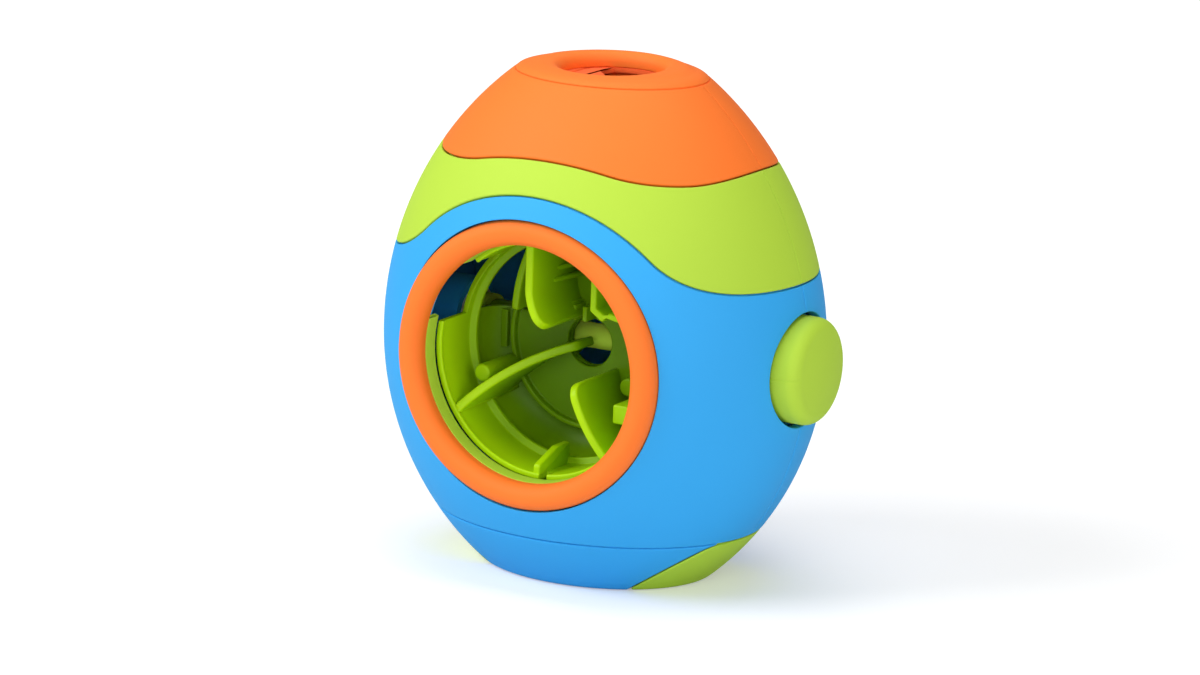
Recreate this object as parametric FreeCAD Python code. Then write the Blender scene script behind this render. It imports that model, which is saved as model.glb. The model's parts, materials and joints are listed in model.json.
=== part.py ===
import FreeCAD, Part
import math
import os

# Slow feeder tumbler: an egg-shaped feeder on a flat base. A bowl with maze vanes turns
# inside it on a cross shaft between two side knobs and shows through a round porthole.
# Millimetres. +Z is up, -Y is the porthole side, +X is the right knob.
# The origin is on the floor, on the egg's upright axis.

Vec = FreeCAD.Vector

# Egg: two meridian arcs that meet upright at the widest level, squeezed in depth
AXIS_Z = 72.6             # widest level, which the porthole and the knobs are centred on
HALF_WIDTH = 72.3
HALF_DEPTH = 58.6
LOWER_ARC = 93.5          # meridian radius below the widest level
UPPER_ARC = 106.5         # meridian radius above it
LAND_Z = 158.0            # level of the flat top land
BASE_ROUND = 4.5
FOOT_TRIM = 0.05          # sliced off the underside, which makes it a true plane
LAND_ROUND = 2.5
WALL = 2.8

# Joint between body and lid: a crest over the porthole and a trough at each side
LID_CREST_Z = 125.0
LID_CREST_R = 58.0
LID_TROUGH_R = 40.0
LID_TROUGH_X = 66.5
LID_SIDE_R = 40.0         # beyond the trough

# Joint between collar and cap
CAP_CREST_Z = 135.5
CAP_CREST_R = 101.6
CAP_TROUGH_R = 98.3
CAP_TROUGH_X = 43.3
CAP_SIDE_R = 25.3

WAVE_SIDE_REACH = 12.0    # how far a joint line rises past its trough

JOINT_GAP = 0.5           # open line between two colours
TONGUE_OUT = 1.6          # depth of a locating tongue's outer face below the egg's surface
TONGUE_RISE = 3.6
TONGUE_CLEARANCE = 0.25
PARTING_LINE = 0.16       # shallow groove where the front and rear mouldings meet
PARTING_DEPTH = 0.3

# Base: blue lobes at front and rear, green pan that rises at both sides
SEAM_Z = 17.3
PATCH_FLOOR_X = 24.7      # where the pan's side patch leaves the floor
PATCH_SLOPE_DEG = 33.5
PATCH_BLEND_R = 12.0
PAN_WALL = 2.0            # the pan's tub, inside the lobes
PAN_RISE = 3.6            # how far the tub reaches up inside the body
PAN_OVAL_X = 31.5         # half size of the pan's part of the underside
PAN_OVAL_Y = 23.0
BASE_SCREW_X = 28.5
BASE_SCREW_Y = 12.0
POST_R = 4.0
ARM_T = 3.7               # the body's arms that the base screws pull on
ARM_WIDTH = 5.0

# Counterweight in the pan
WEIGHT_R = 18.0
WEIGHT_H = 8.0
WEIGHT_EDGE_R = 0.6
WEIGHT_CLEARANCE = 0.3
WEIGHT_WALL = 1.8
COVER_H = 2.0
COVER_POST_X = 24.0
COVER_POST_R = 3.0

# Porthole ring
RING_OUTER_R = 45.2
RING_INNER_R = 37.1
RING_CREST_Y = -50.8
RING_SEAT_Y = -43.6
RING_EDGE_R = 3.9
RING_CLEARANCE = 0.3
LINER_WALL = 1.7          # green liner that carries the bowl's wall on to the ring
LINER_FRONT_Y = -45.2
LINER_REAR_Y = -39.6
LINER_RIM_R = 40.1        # rim held between the ring and the body's flange
LINER_OPEN_LOW_Z = 9.0    # level above the axis where the liner's opening begins
FLANGE_T = 2.4
FLANGE_RIM = 2.4
FLANGE_DEPTH = 0.6        # how far the flange stays under the egg's surface
RING_SCREW_INSET = 3.0    # from the ring's outer edge to its screws
RING_SCREW_PCD_R = RING_OUTER_R - RING_SCREW_INSET
RING_SCREW_COUNT = 6

# Knobs, their pockets and bearings
KNOB_R = 16.7
KNOB_FACE_X = 78.3
LOW_KNOB_FACE_X = 70.4    # the left knob stays inside the egg's outline
KNOB_FACE_T = 5.5
KNOB_EDGE_R = 4.2
KNOB_DOME = 1.2
POCKET_R = 18.0
POCKET_FLOOR_X = 61.5
POCKET_WALL = 2.2
POCKET_FLOOR_T = 3.2
KNOB_LIFT = 0.6           # gap between the knob and its pocket's floor
STEM_R = 8.0
STEM_END_X = 40.3
BUSH_BORE_R = 8.06
BUSH_R = 10.2
BUSH_FLANGE_R = 12.4
BUSH_FLANGE_T = 1.6
BUSH_END_X = 46.5
BOSS_WALL = 2.4
BUSH_FIT = 0.05
ORING_R = 1.1
ORING_SQUASH = 0.03       # gap left between the friction ring and its bush
ORING_X = 53.0
KNOB_HOLLOW_OUT_R = 14.2
KNOB_HOLLOW_IN_R = 10.6
SHAFT_R = 4.0
SHAFT_END_X = 66.0
SHAFT_FIT = 0.03
PIN_R = 1.25
PIN_FIT = 0.02
PIN_END = 0.3             # how far a pin's ends stay under the surface
STEM_PIN_X = 43.2
HUB_PIN_X = 24.0

# Tumbler bowl
BOWL_WALL = 1.9
BOWL_R = 38.2             # outer radius of the bowl's barrel
BOWL_SHOULDER_Y = -37.4
BOWL_MOUTH_R = 37.6
BOWL_MOUTH_Y = -38.4
LIP_R = 35.9              # inner radius of the mouth's lip
LIP_H = 1.8
TERRACE_Y = -19.8         # ridge round the bowl's wall
TERRACE_T = 1.3
TERRACE_LIP_R = 34.2
TERRACE_TAPER = 0.7
SLOPE_START_Y = -17.0
SLOPE_END_R = 28.8
FLOOR_FRONT_Y = -6.9
FLOOR_HOLE_R = 7.6
HUB_R = 6.5
HUB_START_X = 8.6
HUB_HALF_LENGTH = 40.0
GUSSET_X = 31.0
GUSSET_T = 2.4
GUSSET_HALF_H = 6.0
DIVIDER_X = -0.6
DIVIDER_T = 2.4
DIVIDER_TOP_R = 29.6
DIVIDER_FRONT_Y = -38.0
DIVIDER_SHOULDER_Y = -27.0
SLOT_T = 2.6
SLOT_REAR_Y = -33.0
PEG_X = -27.2
PEG_Z = -10.2
PEG_R = 2.8
PEG_FRONT_Y = -28.0
WINDOW_FROM_DEG = 131.0
WINDOW_LOW_Z = 7.0        # level of the window's lower edge above the axis
WINDOW_INNER_R = 23.0
BAND_FRONT_Y = -23.5
BAND_REAR_Y = -18.0

# Maze insert
DISC_R = 27.6
DISC_T = 1.8
DISC_LIP_T = 1.5
DISC_LIP_H = 2.2
VANE_T = 2.8
VANE_WALL_GAP = 0.15
VANE_FRONT_Y = -36.0
VANE_CORNER_R = 5.0
VANE_LEFT_DEG = 214.0
VANE_LEFT_R = 36.0
VANE_LEFT_ROOT_X = 0.8
VANE_LEFT_ROOT_H = 0.5
VANE_LEFT_ROOT_Y = -17.0
VANE_LEFT_CROWN = 2.9
VANE_RIGHT_DEG = 308.0
VANE_RIGHT_ROOT_X = 9.2
VANE_RIGHT_ROOT_H = -7.2
VANE_RIGHT_BOW = 1.8
VANE_TOP_X = -6.6
VANE_TOP_KNEE_H = 20.0
VANE_TOP_LOW_X = -1.6
VANE_TOP_LOW_H = 8.6
VANE_TOP_SWEEP = 1.4
VANE_TOP_RIBS = ((13.0, -29.0), (21.5, -23.0), (25.0, -21.0), (28.5, -19.0))
RIB_T = 1.6
RIB_H = 2.4
VANE_BACK_LOW = (-20.3, 9.5)
VANE_BACK_VIA = (-18.8, 20.0)
VANE_BACK_HIGH = (-14.5, 31.5)
VANE_BACK_T = 2.4
VANE_BACK_FRONT_Y = -21.0
BLOCK_X = 11.0
BLOCK_LOW_H = 11.0
BLOCK_HIGH_H = 31.0
BLOCK_BEVEL_H = 4.0
BLOCK_BEVEL_X = 6.0
BLOCK_WALL = 2.2
BLOCK_FRONT_Y = -28.5
BLOCK_DEPTH = 8.0
TAB_X = 20.5
TAB_H = -18.8
TAB_SIZE = 6.0
TAB_FRONT_Y = -29.0
HUB_POSTS_X = (-3.4, 0.6)
HUB_POST_T = 1.6
HUB_POST_H = 5.0
HUB_POST_FRONT_Y = -15.0
INSERT_SCREWS = ((14.5, 17.0), (-12.5, 17.5), (17.0, -11.0))
INSERT_BOSS_R = 2.8
INSERT_BOSS_H = 5.5

# Lid: fill collar, valve, hopper and the frame behind the cap joint
DISC_SEAT_Z = 156.0
FILL_BORE_R = 16.0
LIP_CREST_R = 19.2
LIP_CREST_Z = 160.0
LIP_ROUND = 3.2
CROWN_HALF_WIDTH = 28.2   # oval rise of the disc that ends in the lip
CROWN_HALF_DEPTH = 23.2
CROWN_SINK = 0.5
CREASE_H = 0.5            # groove under the disc's edge
SPIGOT_R = 23.0
SPIGOT_WALL = 1.7
SPIGOT_END_Z = 147.0
CAP_HOLE_CLEARANCE = 0.3
HOOK_REACH = 1.0
HOOK_WIDTH = 9.0
HOOK_LOW_Z = 151.4
HOOK_H = 1.6
VALVE_STEP = 0.8          # from the disc's seat down to the valve's top
VALVE_TOP_Z = DISC_SEAT_Z - VALVE_STEP
VALVE_T = 2.0
VALVE_BORE_R = 16.2
VALVE_FIT = 0.1
PETAL_HINGE_X = 13.0
PETAL_ROOT_Y = 7.6        # half length of a flap's root
PETAL_T = 1.8
PETAL_R = 15.6
PETAL_GAP = 0.3
PETAL_NOSE_X = 3.3
PETAL_NOSE_Y = 3.6
PETAL_SIDE_X = 7.2
THROAT_R = 19.0
THROAT_TOP_Z = 149.5
HOPPER_WALL = 1.8
DECK_Z = 130.2
DECK_T = 1.8
FRAME_T = 2.0
FRAME_BELOW = 4.0         # how far the frame covers the joint line, down and up
FRAME_HIGH_Z = 142.5
LEDGE_T = 2.2
LEDGE_WIDTH = 8.0
DECK_SCREW_DEG = 35.0
FIT = 0.15                # slack of parts that only locate each other

# Screws
SCREW_R = 1.4
SCREW_HOLE_R = 1.5
HEAD_R = 2.7
HEAD_H = 1.8
SHELL_HIGH_X = 54.0
SHELL_HIGH_Z = 97.5
SHELL_LOW_X = 46.5
SHELL_LOW_Z = 35.5
SHELL_BOSS_R = 3.9
SHELL_HEAD_Y = 22.0
SHELL_FRONT_Y = -14.0

FAR = 120.0               # reach of cutting shapes, well past the egg


def half_width(z, depth):
    """Half width at a level of the egg's surface moved inwards by depth."""
    radius = LOWER_ARC if z < AXIS_Z else UPPER_ARC
    reach = radius - depth
    return HALF_WIDTH - radius + math.sqrt(reach ** 2 - (z - AXIS_Z) ** 2)


def line(a, b):
    return Part.LineSegment(Vec(*a), Vec(*b)).toShape()


def arc(a, via, b):
    return Part.Arc(Vec(*a), Vec(*via), Vec(*b)).toShape()


def face_of(edges):
    return Part.Face(Part.Wire(Part.__sortEdges__(edges)))


def joined(shapes):
    return shapes[0].multiFuse(shapes[1:])


def box(x0, x1, y0, y1, z0, z1):
    return Part.makeBox(x1 - x0, y1 - y0, z1 - z0, Vec(x0, y0, z0))


def cyl_x(radius, x0, x1, y=0.0, z=AXIS_Z):
    return Part.makeCylinder(radius, x1 - x0, Vec(x0, y, z), Vec(1, 0, 0))


def cyl_y(radius, y0, y1, x=0.0, z=AXIS_Z):
    return Part.makeCylinder(radius, y1 - y0, Vec(x, y0, z), Vec(0, 1, 0))


def cyl_z(radius, z0, z1, x=0.0, y=0.0):
    return Part.makeCylinder(radius, z1 - z0, Vec(x, y, z0))


def tube_z(outer, inner, z0, z1):
    return cyl_z(outer, z0, z1).cut(cyl_z(inner, z0, z1))


def slab(z0, z1):
    return box(-FAR, FAR, -FAR, FAR, z0, z1)


def squeezed(shape, depth):
    """Shape with its depth scaled about the egg's upright axis."""
    matrix = FreeCAD.Matrix()
    matrix.A22 = (HALF_DEPTH - depth) / (HALF_WIDTH - depth)
    return shape.transformGeometry(matrix)


def oval_plate(half_x, half_y, z0, z1):
    plate = cyl_z(half_x, z0, z1)
    matrix = FreeCAD.Matrix()
    matrix.A22 = half_y / half_x
    return plate.transformGeometry(matrix)


def egg(depth, z_low, z_high, base_round=0.0, land_round=0.0):
    """Solid egg whose surface lies the given depth inside the outer one."""
    low_mid = (z_low + AXIS_Z) / 2
    high_mid = (z_high + AXIS_Z) / 2
    low = (half_width(z_low, depth), 0, z_low)
    widest = (HALF_WIDTH - depth, 0, AXIS_Z)
    high = (half_width(z_high, depth), 0, z_high)
    edges = [
        line((0, 0, z_low), low),
        arc(low, (half_width(low_mid, depth), 0, low_mid), widest),
        arc(widest, (half_width(high_mid, depth), 0, high_mid), high),
        line(high, (0, 0, z_high)),
        line((0, 0, z_high), (0, 0, z_low)),
    ]
    solid = face_of(edges).revolve(Vec(0, 0, 0), Vec(0, 0, 1), 360)
    solid.rotate(Vec(0, 0, 0), Vec(0, 0, 1), 45)
    for radius, level in ((base_round, z_low), (land_round, z_high)):
        if radius > 0:
            rims = [e for e in solid.Edges if abs(e.BoundBox.ZMin - level) < 1e-6
                    and abs(e.BoundBox.ZMax - level) < 1e-6]
            solid = solid.makeFillet(radius, rims)
    return squeezed(solid, depth)


def wave(crest_z, crest_r, trough_r, trough_x, side_r, shift, lift):
    """Edges of a wavy joint line, left to right, moved by shift along its normal."""
    span = crest_r + trough_r
    crest = (0.0, crest_z - crest_r + lift)
    trough = (trough_x, crest[1] + math.sqrt(span ** 2 - trough_x ** 2))
    share = (crest_r + shift) / span
    bend = (trough_x * share, crest[1] + (trough[1] - crest[1]) * share)
    low_r = trough_r - shift
    low = (trough_x, trough[1] - low_r)
    start = math.atan2(bend[1] - trough[1], bend[0] - trough[0])
    middle = (start - math.pi / 2) / 2
    via = (trough[0] + low_r * math.cos(middle), trough[1] + low_r * math.sin(middle))
    top = (0.0, crest[1] + crest_r + shift)
    rise_r = side_r - shift
    turn = math.asin(WAVE_SIDE_REACH / rise_r)
    brow = (trough_x + rise_r * math.sin(turn / 2), low[1] + rise_r * (1 - math.cos(turn / 2)))
    side = (trough_x + WAVE_SIDE_REACH, low[1] + rise_r * (1 - math.cos(turn)))
    return [
        line((-FAR, 0, side[1]), (-side[0], 0, side[1])),
        arc((-side[0], 0, side[1]), (-brow[0], 0, brow[1]), (-low[0], 0, low[1])),
        arc((-low[0], 0, low[1]), (-via[0], 0, via[1]), (-bend[0], 0, bend[1])),
        arc((-bend[0], 0, bend[1]), (0, 0, top[1]), (bend[0], 0, bend[1])),
        arc((bend[0], 0, bend[1]), (via[0], 0, via[1]), (low[0], 0, low[1])),
        arc((low[0], 0, low[1]), (brow[0], 0, brow[1]), (side[0], 0, side[1])),
        line((side[0], 0, side[1]), (FAR, 0, side[1])),
    ]


def lid_line(shift=0.0, lift=0.0):
    return wave(LID_CREST_Z, LID_CREST_R, LID_TROUGH_R, LID_TROUGH_X, LID_SIDE_R, shift, lift)


def cap_line(shift=0.0, lift=0.0):
    return wave(CAP_CREST_Z, CAP_CREST_R, CAP_TROUGH_R, CAP_TROUGH_X, CAP_SIDE_R, shift, lift)


def beside_line(edges, level):
    """Slab, through the whole depth, between a joint line and a flat level."""
    start = edges[0].Vertexes[0].Point
    end = edges[-1].Vertexes[-1].Point
    sides = [
        line(tuple(end), (end.x, 0, level)),
        line((end.x, 0, level), (start.x, 0, level)),
        line((start.x, 0, level), tuple(start)),
    ]
    slab = face_of(edges + sides).extrude(Vec(0, 2 * FAR, 0))
    slab.translate(Vec(0, -FAR, 0))
    return slab


def below(edges):
    return beside_line(edges, -FAR)


def above(edges):
    return beside_line(edges, 2 * FAR)


def mirrored_x(shape):
    return shape.mirror(Vec(0, 0, 0), Vec(1, 0, 0))


def front_half(shape):
    return shape.common(box(-FAR, FAR, -FAR, 0, -FAR, 2 * FAR))


def rear_half(shape):
    return shape.common(box(-FAR, FAR, 0, FAR, -FAR, 2 * FAR))


def save(name, shape):
    solids = shape.Solids
    clean = solids[0] if len(solids) == 1 else Part.makeCompound(solids)
    if not clean.isValid():
        print("not valid:", name)
    print(name, len(solids), round(clean.Volume, 1))
    clean.exportStep("parts/" + name + ".step")


OUTER = egg(0, -FOOT_TRIM, LAND_Z, BASE_ROUND, LAND_ROUND).common(slab(0, FAR + LAND_Z))
INNER = egg(WALL, WALL, LAND_Z - WALL)
SHELL = OUTER.cut(INNER)


def parting_groove(depth=PARTING_DEPTH):
    """Thin slab that leaves a shallow line where the mouldings meet."""
    half = PARTING_LINE / 2
    return box(-FAR, FAR, -half, half, -FAR, 2 * FAR).cut(egg(depth, depth, LAND_Z - depth))


def halves(shape, name):
    lined = shape.cut(GROOVE)
    save(name + "_front", front_half(lined))
    save(name + "_rear", rear_half(lined))


GROOVE = parting_groove()


def cap():
    half_gap = JOINT_GAP / 2
    wall = SHELL.common(above(cap_line(half_gap))).common(slab(0, DISC_SEAT_Z))
    seat = OUTER.common(slab(DISC_SEAT_Z - WALL, DISC_SEAT_Z))
    hole = cyl_z(SPIGOT_R + CAP_HOLE_CLEARANCE, DISC_SEAT_Z - 2 * WALL, LAND_Z)
    return joined([wall, seat]).cut(hole)


def collar():
    half_gap = JOINT_GAP / 2
    band = SHELL.common(below(cap_line(-half_gap))).common(above(lid_line(half_gap)))
    room = TONGUE_OUT - TONGUE_CLEARANCE
    rebate = egg(room, WALL, LAND_Z - WALL)
    rebate = rebate.common(below(lid_line(lift=TONGUE_RISE + TONGUE_CLEARANCE)))
    return band.cut(rebate)


def tongue():
    """Locating rim of the body that rises inside the collar."""
    rim = egg(TONGUE_OUT, WALL, LAND_Z - WALL).cut(INNER)
    rim = rim.common(above(lid_line(lift=-WALL)))
    return rim.common(below(lid_line(lift=TONGUE_RISE)))


def porthole_seat():
    """Flange behind the ring with the rim that ties it to the shell."""
    rear = RING_SEAT_Y + FLANGE_T
    seat_r = RING_OUTER_R + RING_CLEARANCE
    drum = cyl_y(seat_r + FLANGE_RIM, -HALF_DEPTH, rear)
    return drum.common(egg(FLANGE_DEPTH, WALL, LAND_Z - WALL))


def ring_screw_places():
    step = 2 * math.pi / RING_SCREW_COUNT
    angles = [step * (i + 0.5) for i in range(RING_SCREW_COUNT)]
    r = RING_SCREW_PCD_R
    return [(r * math.cos(a), AXIS_Z + r * math.sin(a)) for a in angles]


def ring_screws():
    rear = RING_SEAT_Y + FLANGE_T
    tip = RING_CREST_Y + WALL
    parts = []
    for x, z in ring_screw_places():
        shank = cyl_y(SCREW_R, tip, rear, x, z)
        head = cyl_y(HEAD_R, rear, rear + HEAD_H, x, z)
        parts.append(joined([shank, head]))
    return Part.makeCompound(parts)


def ring_screw_holes():
    rear = RING_SEAT_Y + FLANGE_T
    tip = RING_CREST_Y + WALL - 2 * FIT
    places = ring_screw_places()
    return Part.makeCompound([cyl_y(SCREW_HOLE_R, tip, rear + WALL, x, z) for x, z in places])


def knob_pocket():
    """Cup for the right knob with the boss that holds its bush."""
    inner_face = POCKET_FLOOR_X - POCKET_FLOOR_T
    cup = cyl_x(POCKET_R + POCKET_WALL, inner_face, HALF_WIDTH)
    cup = cup.common(egg(FLANGE_DEPTH, WALL, LAND_Z - WALL))
    boss = cyl_x(BUSH_R + BUSH_FIT + BOSS_WALL, BUSH_END_X + FIT, POCKET_FLOOR_X)
    return joined([cup, boss])


def knob_pocket_void():
    room = cyl_x(POCKET_R, POCKET_FLOOR_X, FAR)
    bore = cyl_x(BUSH_R + BUSH_FIT, BUSH_END_X - FIT, POCKET_FLOOR_X)
    flange = cyl_x(BUSH_FLANGE_R + BUSH_FIT, POCKET_FLOOR_X - BUSH_FLANGE_T, POCKET_FLOOR_X)
    return joined([room, bore, flange])


def shell_screw_places():
    return [(SHELL_HIGH_X, SHELL_HIGH_Z), (SHELL_LOW_X, SHELL_LOW_Z)]


def shell_bosses():
    """Screw columns of the right side, with webs out to the wall."""
    parts = []
    for x, z in shell_screw_places():
        parts.append(cyl_y(SHELL_BOSS_R, SHELL_FRONT_Y, HALF_DEPTH, x, z))
        parts.append(box(x, HALF_WIDTH, SHELL_FRONT_Y, SHELL_HEAD_Y, z - WALL / 2, z + WALL / 2))
    inside = egg(FLANGE_DEPTH, WALL, LAND_Z - WALL)
    lid_wall = OUTER.cut(egg(WALL + 2 * FIT, WALL, LAND_Z - WALL)).common(above(lid_line(-JOINT_GAP / 2)))
    return joined(parts).common(inside).cut(lid_wall)


def shell_screw_holes():
    parts = []
    for x, z in shell_screw_places():
        parts.append(cyl_y(SCREW_HOLE_R, SHELL_FRONT_Y + WALL, SHELL_HEAD_Y, x, z))
        parts.append(cyl_y(HEAD_R + 2 * FIT, SHELL_HEAD_Y, FAR, x, z))
    return Part.makeCompound(parts)


def shell_screws():
    parts = []
    for x, z in shell_screw_places():
        shank = cyl_y(SCREW_R, SHELL_FRONT_Y + WALL + FIT, SHELL_HEAD_Y, x, z)
        head = cyl_y(HEAD_R, SHELL_HEAD_Y, SHELL_HEAD_Y + HEAD_H, x, z)
        screw = joined([shank, head])
        parts += [screw, mirrored_x(screw)]
    return Part.makeCompound(parts)


def base_arms():
    """Arms of the right side that the base screws pull on."""
    low = SEAM_Z + PAN_RISE + FIT
    parts = []
    for y in (-BASE_SCREW_Y, BASE_SCREW_Y):
        half = ARM_WIDTH / 2
        parts.append(box(BASE_SCREW_X, HALF_WIDTH, y - half, y + half, low, low + ARM_T))
        parts.append(cyl_z(POST_R, low, low + ARM_T, BASE_SCREW_X, y))
    return Part.makeCompound(parts).common(egg(FLANGE_DEPTH, WALL, LAND_Z - WALL))


def base_screw_places():
    xs = (-BASE_SCREW_X, BASE_SCREW_X)
    return [(x, y) for x in xs for y in (-BASE_SCREW_Y, BASE_SCREW_Y)]


def base_screw_holes():
    top = SEAM_Z + PAN_RISE + FIT + ARM_T
    parts = []
    for x, y in base_screw_places():
        parts.append(cyl_z(SCREW_HOLE_R, 0, top + WALL, x, y))
        parts.append(cyl_z(HEAD_R + 2 * FIT, -WALL, WALL, x, y))
    return Part.makeCompound(parts)


def base_screws():
    top = SEAM_Z + PAN_RISE + FIT + ARM_T
    parts = []
    for x, y in base_screw_places():
        shank = cyl_z(SCREW_R, WALL, top, x, y)
        head = cyl_z(HEAD_R, WALL - HEAD_H, WALL, x, y)
        parts.append(joined([shank, head]))
    return Part.makeCompound(parts)


def body():
    half_gap = JOINT_GAP / 2
    wall = SHELL.common(below(lid_line(-half_gap))).common(slab(SEAM_Z + half_gap, LAND_Z))
    right = [knob_pocket(), shell_bosses(), base_arms()]
    left = [mirrored_x(part) for part in right]
    solid = joined([wall, tongue(), porthole_seat()] + right + left)
    voids = [knob_pocket_void(), shell_screw_holes()]
    voids += [mirrored_x(void) for void in voids]
    voids.append(cyl_y(RING_OUTER_R + RING_CLEARANCE, -FAR, RING_SEAT_Y))
    voids.append(cyl_y(RING_INNER_R + LINER_WALL + FIT, -FAR, 0))
    voids.append(ring_screw_holes())
    voids.append(base_screw_holes())
    for void in voids:
        solid = solid.cut(void)
    return solid


def outline(points):
    """Closed edges from (u, v) points; a point written (via, end) is reached by an arc."""
    edges = []
    start = points[0]
    at = start
    for item in points[1:] + [start]:
        curved = isinstance(item[0], tuple)
        end = item[1] if curved else item
        if curved:
            edges.append(("arc", at, item[0], end))
        else:
            edges.append(("line", at, end))
        at = end
    return edges


def drawn(edges, place):
    """Edges of an outline set in space by a function of (u, v)."""
    shapes = []
    for edge in edges:
        spots = [place(*spot) for spot in edge[1:]]
        shapes.append(arc(*spots) if edge[0] == "arc" else line(*spots))
    return face_of(shapes)


def spun(points):
    """Solid turned about the porthole's axis from (radius, y) points."""
    face = drawn(outline(points), lambda r, y: (r, y, AXIS_Z))
    return face.revolve(Vec(0, 0, AXIS_Z), Vec(0, 1, 0), 360)


def prism_y(points, y0, y1):
    """Prism along the depth from (x, height above the axis) points."""
    face = drawn(outline(points), lambda x, h: (x, y0, AXIS_Z + h))
    return face.extrude(Vec(0, y1 - y0, 0))


def prism_across(points, angle, reach):
    """Prism across a radial direction from (radius, y) points."""
    c, s = math.cos(angle), math.sin(angle)
    face = drawn(outline(points), lambda r, y: (r * c, y, AXIS_Z + r * s))
    solid = face.extrude(Vec(-s, 0, c) * (2 * reach))
    solid.translate(Vec(-s, 0, c) * -reach)
    return solid


def porthole_ring():
    seat = RING_SEAT_Y
    step = LINER_FRONT_Y - FIT
    crest = RING_CREST_Y
    edge = RING_EDGE_R
    corner = edge * math.sqrt(0.5)
    inner_via = (RING_INNER_R + edge - corner, crest + edge - corner)
    outer_via = (RING_OUTER_R - edge + corner, crest + edge - corner)
    ring = spun([
        (RING_INNER_R, step),
        (RING_INNER_R, crest + edge),
        (inner_via, (RING_INNER_R + edge, crest)),
        (RING_OUTER_R - edge, crest),
        (outer_via, (RING_OUTER_R, crest + edge)),
        (RING_OUTER_R, seat),
        (LINER_RIM_R + FIT, seat),
        (LINER_RIM_R + FIT, step),
    ])
    return ring.cut(ring_screw_holes())


def ring_liner():
    """Liner behind the ring, open where the bowl's windows stand."""
    outer = RING_INNER_R + LINER_WALL
    liner = spun([
        (RING_INNER_R, LINER_REAR_Y),
        (RING_INNER_R, LINER_FRONT_Y),
        (LINER_RIM_R, LINER_FRONT_Y),
        (LINER_RIM_R, RING_SEAT_Y),
        (outer, RING_SEAT_Y),
        (outer, LINER_REAR_Y),
    ])
    return liner.cut(prism_y(window_sector(LINER_OPEN_LOW_Z), RING_CREST_Y, 0))


def knob(face_x):
    """Right knob: domed head, stem through the bush, blind bore for the shaft."""
    back = POCKET_FLOOR_X + KNOB_LIFT
    brow = face_x - KNOB_DOME
    edge = KNOB_EDGE_R
    corner = edge * math.sqrt(0.5)
    edge_via = (brow - edge + corner, KNOB_R - edge + corner)
    dome_r = ((KNOB_R - edge) ** 2 + KNOB_DOME ** 2) / (2 * KNOB_DOME)
    half_r = (KNOB_R - edge) / 2
    dome_via = (face_x - dome_r + math.sqrt(dome_r ** 2 - half_r ** 2), half_r)
    head = drawn(outline([
        (back, 0.0),
        (back, KNOB_R),
        (brow - edge, KNOB_R),
        (edge_via, (brow, KNOB_R - edge)),
        (dome_via, (face_x, 0.0)),
    ]), lambda x, r: (x, 0, AXIS_Z + r))
    head = head.revolve(Vec(0, 0, AXIS_Z), Vec(1, 0, 0), 360)
    hollow = cyl_x(KNOB_HOLLOW_OUT_R, back, face_x - KNOB_FACE_T)
    hollow = hollow.cut(cyl_x(KNOB_HOLLOW_IN_R, back, face_x - KNOB_FACE_T))
    solid = joined([head.cut(hollow), cyl_x(STEM_R, STEM_END_X, back)])
    bore = cyl_x(SHAFT_R + SHAFT_FIT, STEM_END_X, SHAFT_END_X + SHAFT_FIT)
    groove_r = STEM_R - 2 * ORING_R
    groove = cyl_x(STEM_R + FIT, ORING_X - ORING_R - FIT, ORING_X + ORING_R + FIT)
    groove = groove.cut(cyl_x(groove_r, ORING_X - 2 * ORING_R, ORING_X + 2 * ORING_R))
    return solid.cut(bore).cut(groove).cut(pin_hole(STEM_PIN_X))


def pin_hole(x):
    return cyl_z(PIN_R + PIN_FIT, AXIS_Z - KNOB_R, AXIS_Z + KNOB_R, x)


def friction_rings():
    middle = BUSH_BORE_R - ORING_SQUASH - ORING_R
    ring = Part.makeTorus(middle, ORING_R, Vec(ORING_X, 0, AXIS_Z), Vec(1, 0, 0))
    return Part.makeCompound([ring, mirrored_x(ring)])


def bush():
    tube = cyl_x(BUSH_R, BUSH_END_X, POCKET_FLOOR_X)
    flange = cyl_x(BUSH_FLANGE_R, POCKET_FLOOR_X - BUSH_FLANGE_T + BUSH_FIT, POCKET_FLOOR_X)
    bore = cyl_x(BUSH_BORE_R, BUSH_END_X, POCKET_FLOOR_X)
    return joined([tube, flange]).cut(bore)


def shaft_pins():
    parts = []
    for x, holder in ((STEM_PIN_X, STEM_R), (HUB_PIN_X, HUB_R)):
        half = holder - PIN_END
        pin = cyl_z(PIN_R, AXIS_Z - half, AXIS_Z + half, x)
        parts += [pin, mirrored_x(pin)]
    return Part.makeCompound(parts)


def cross_shaft():
    rod = cyl_x(SHAFT_R, -SHAFT_END_X, SHAFT_END_X)
    for x in (STEM_PIN_X, HUB_PIN_X):
        rod = rod.cut(pin_hole(x)).cut(pin_hole(-x))
    return rod


def bowl_inside(gap=0.0):
    """Solid that fills the bowl's hollow, drawn in from its wall by gap."""
    barrel = BOWL_R - BOWL_WALL - gap
    lip = LIP_R - gap
    ridge = TERRACE_LIP_R - gap
    front = TERRACE_Y - TERRACE_T / 2 - gap
    rear = TERRACE_Y + TERRACE_T / 2 + gap
    floor = FLOOR_FRONT_Y - gap
    slope = SLOPE_END_R - gap
    bend = math.sqrt(0.5)
    via = (slope + (barrel - slope) * bend, SLOPE_START_Y + (floor - SLOPE_START_Y) * bend)
    return spun([
        (0.0, BOWL_MOUTH_Y - WALL),
        (lip, BOWL_MOUTH_Y - WALL),
        (lip, BOWL_MOUTH_Y + LIP_H / 2),
        (barrel, BOWL_MOUTH_Y + LIP_H),
        (barrel, front - TERRACE_TAPER),
        (ridge, front),
        (ridge, rear),
        (barrel, rear + TERRACE_TAPER),
        (barrel, SLOPE_START_Y),
        (via, (slope, floor)),
        (0.0, floor),
    ])


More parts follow.
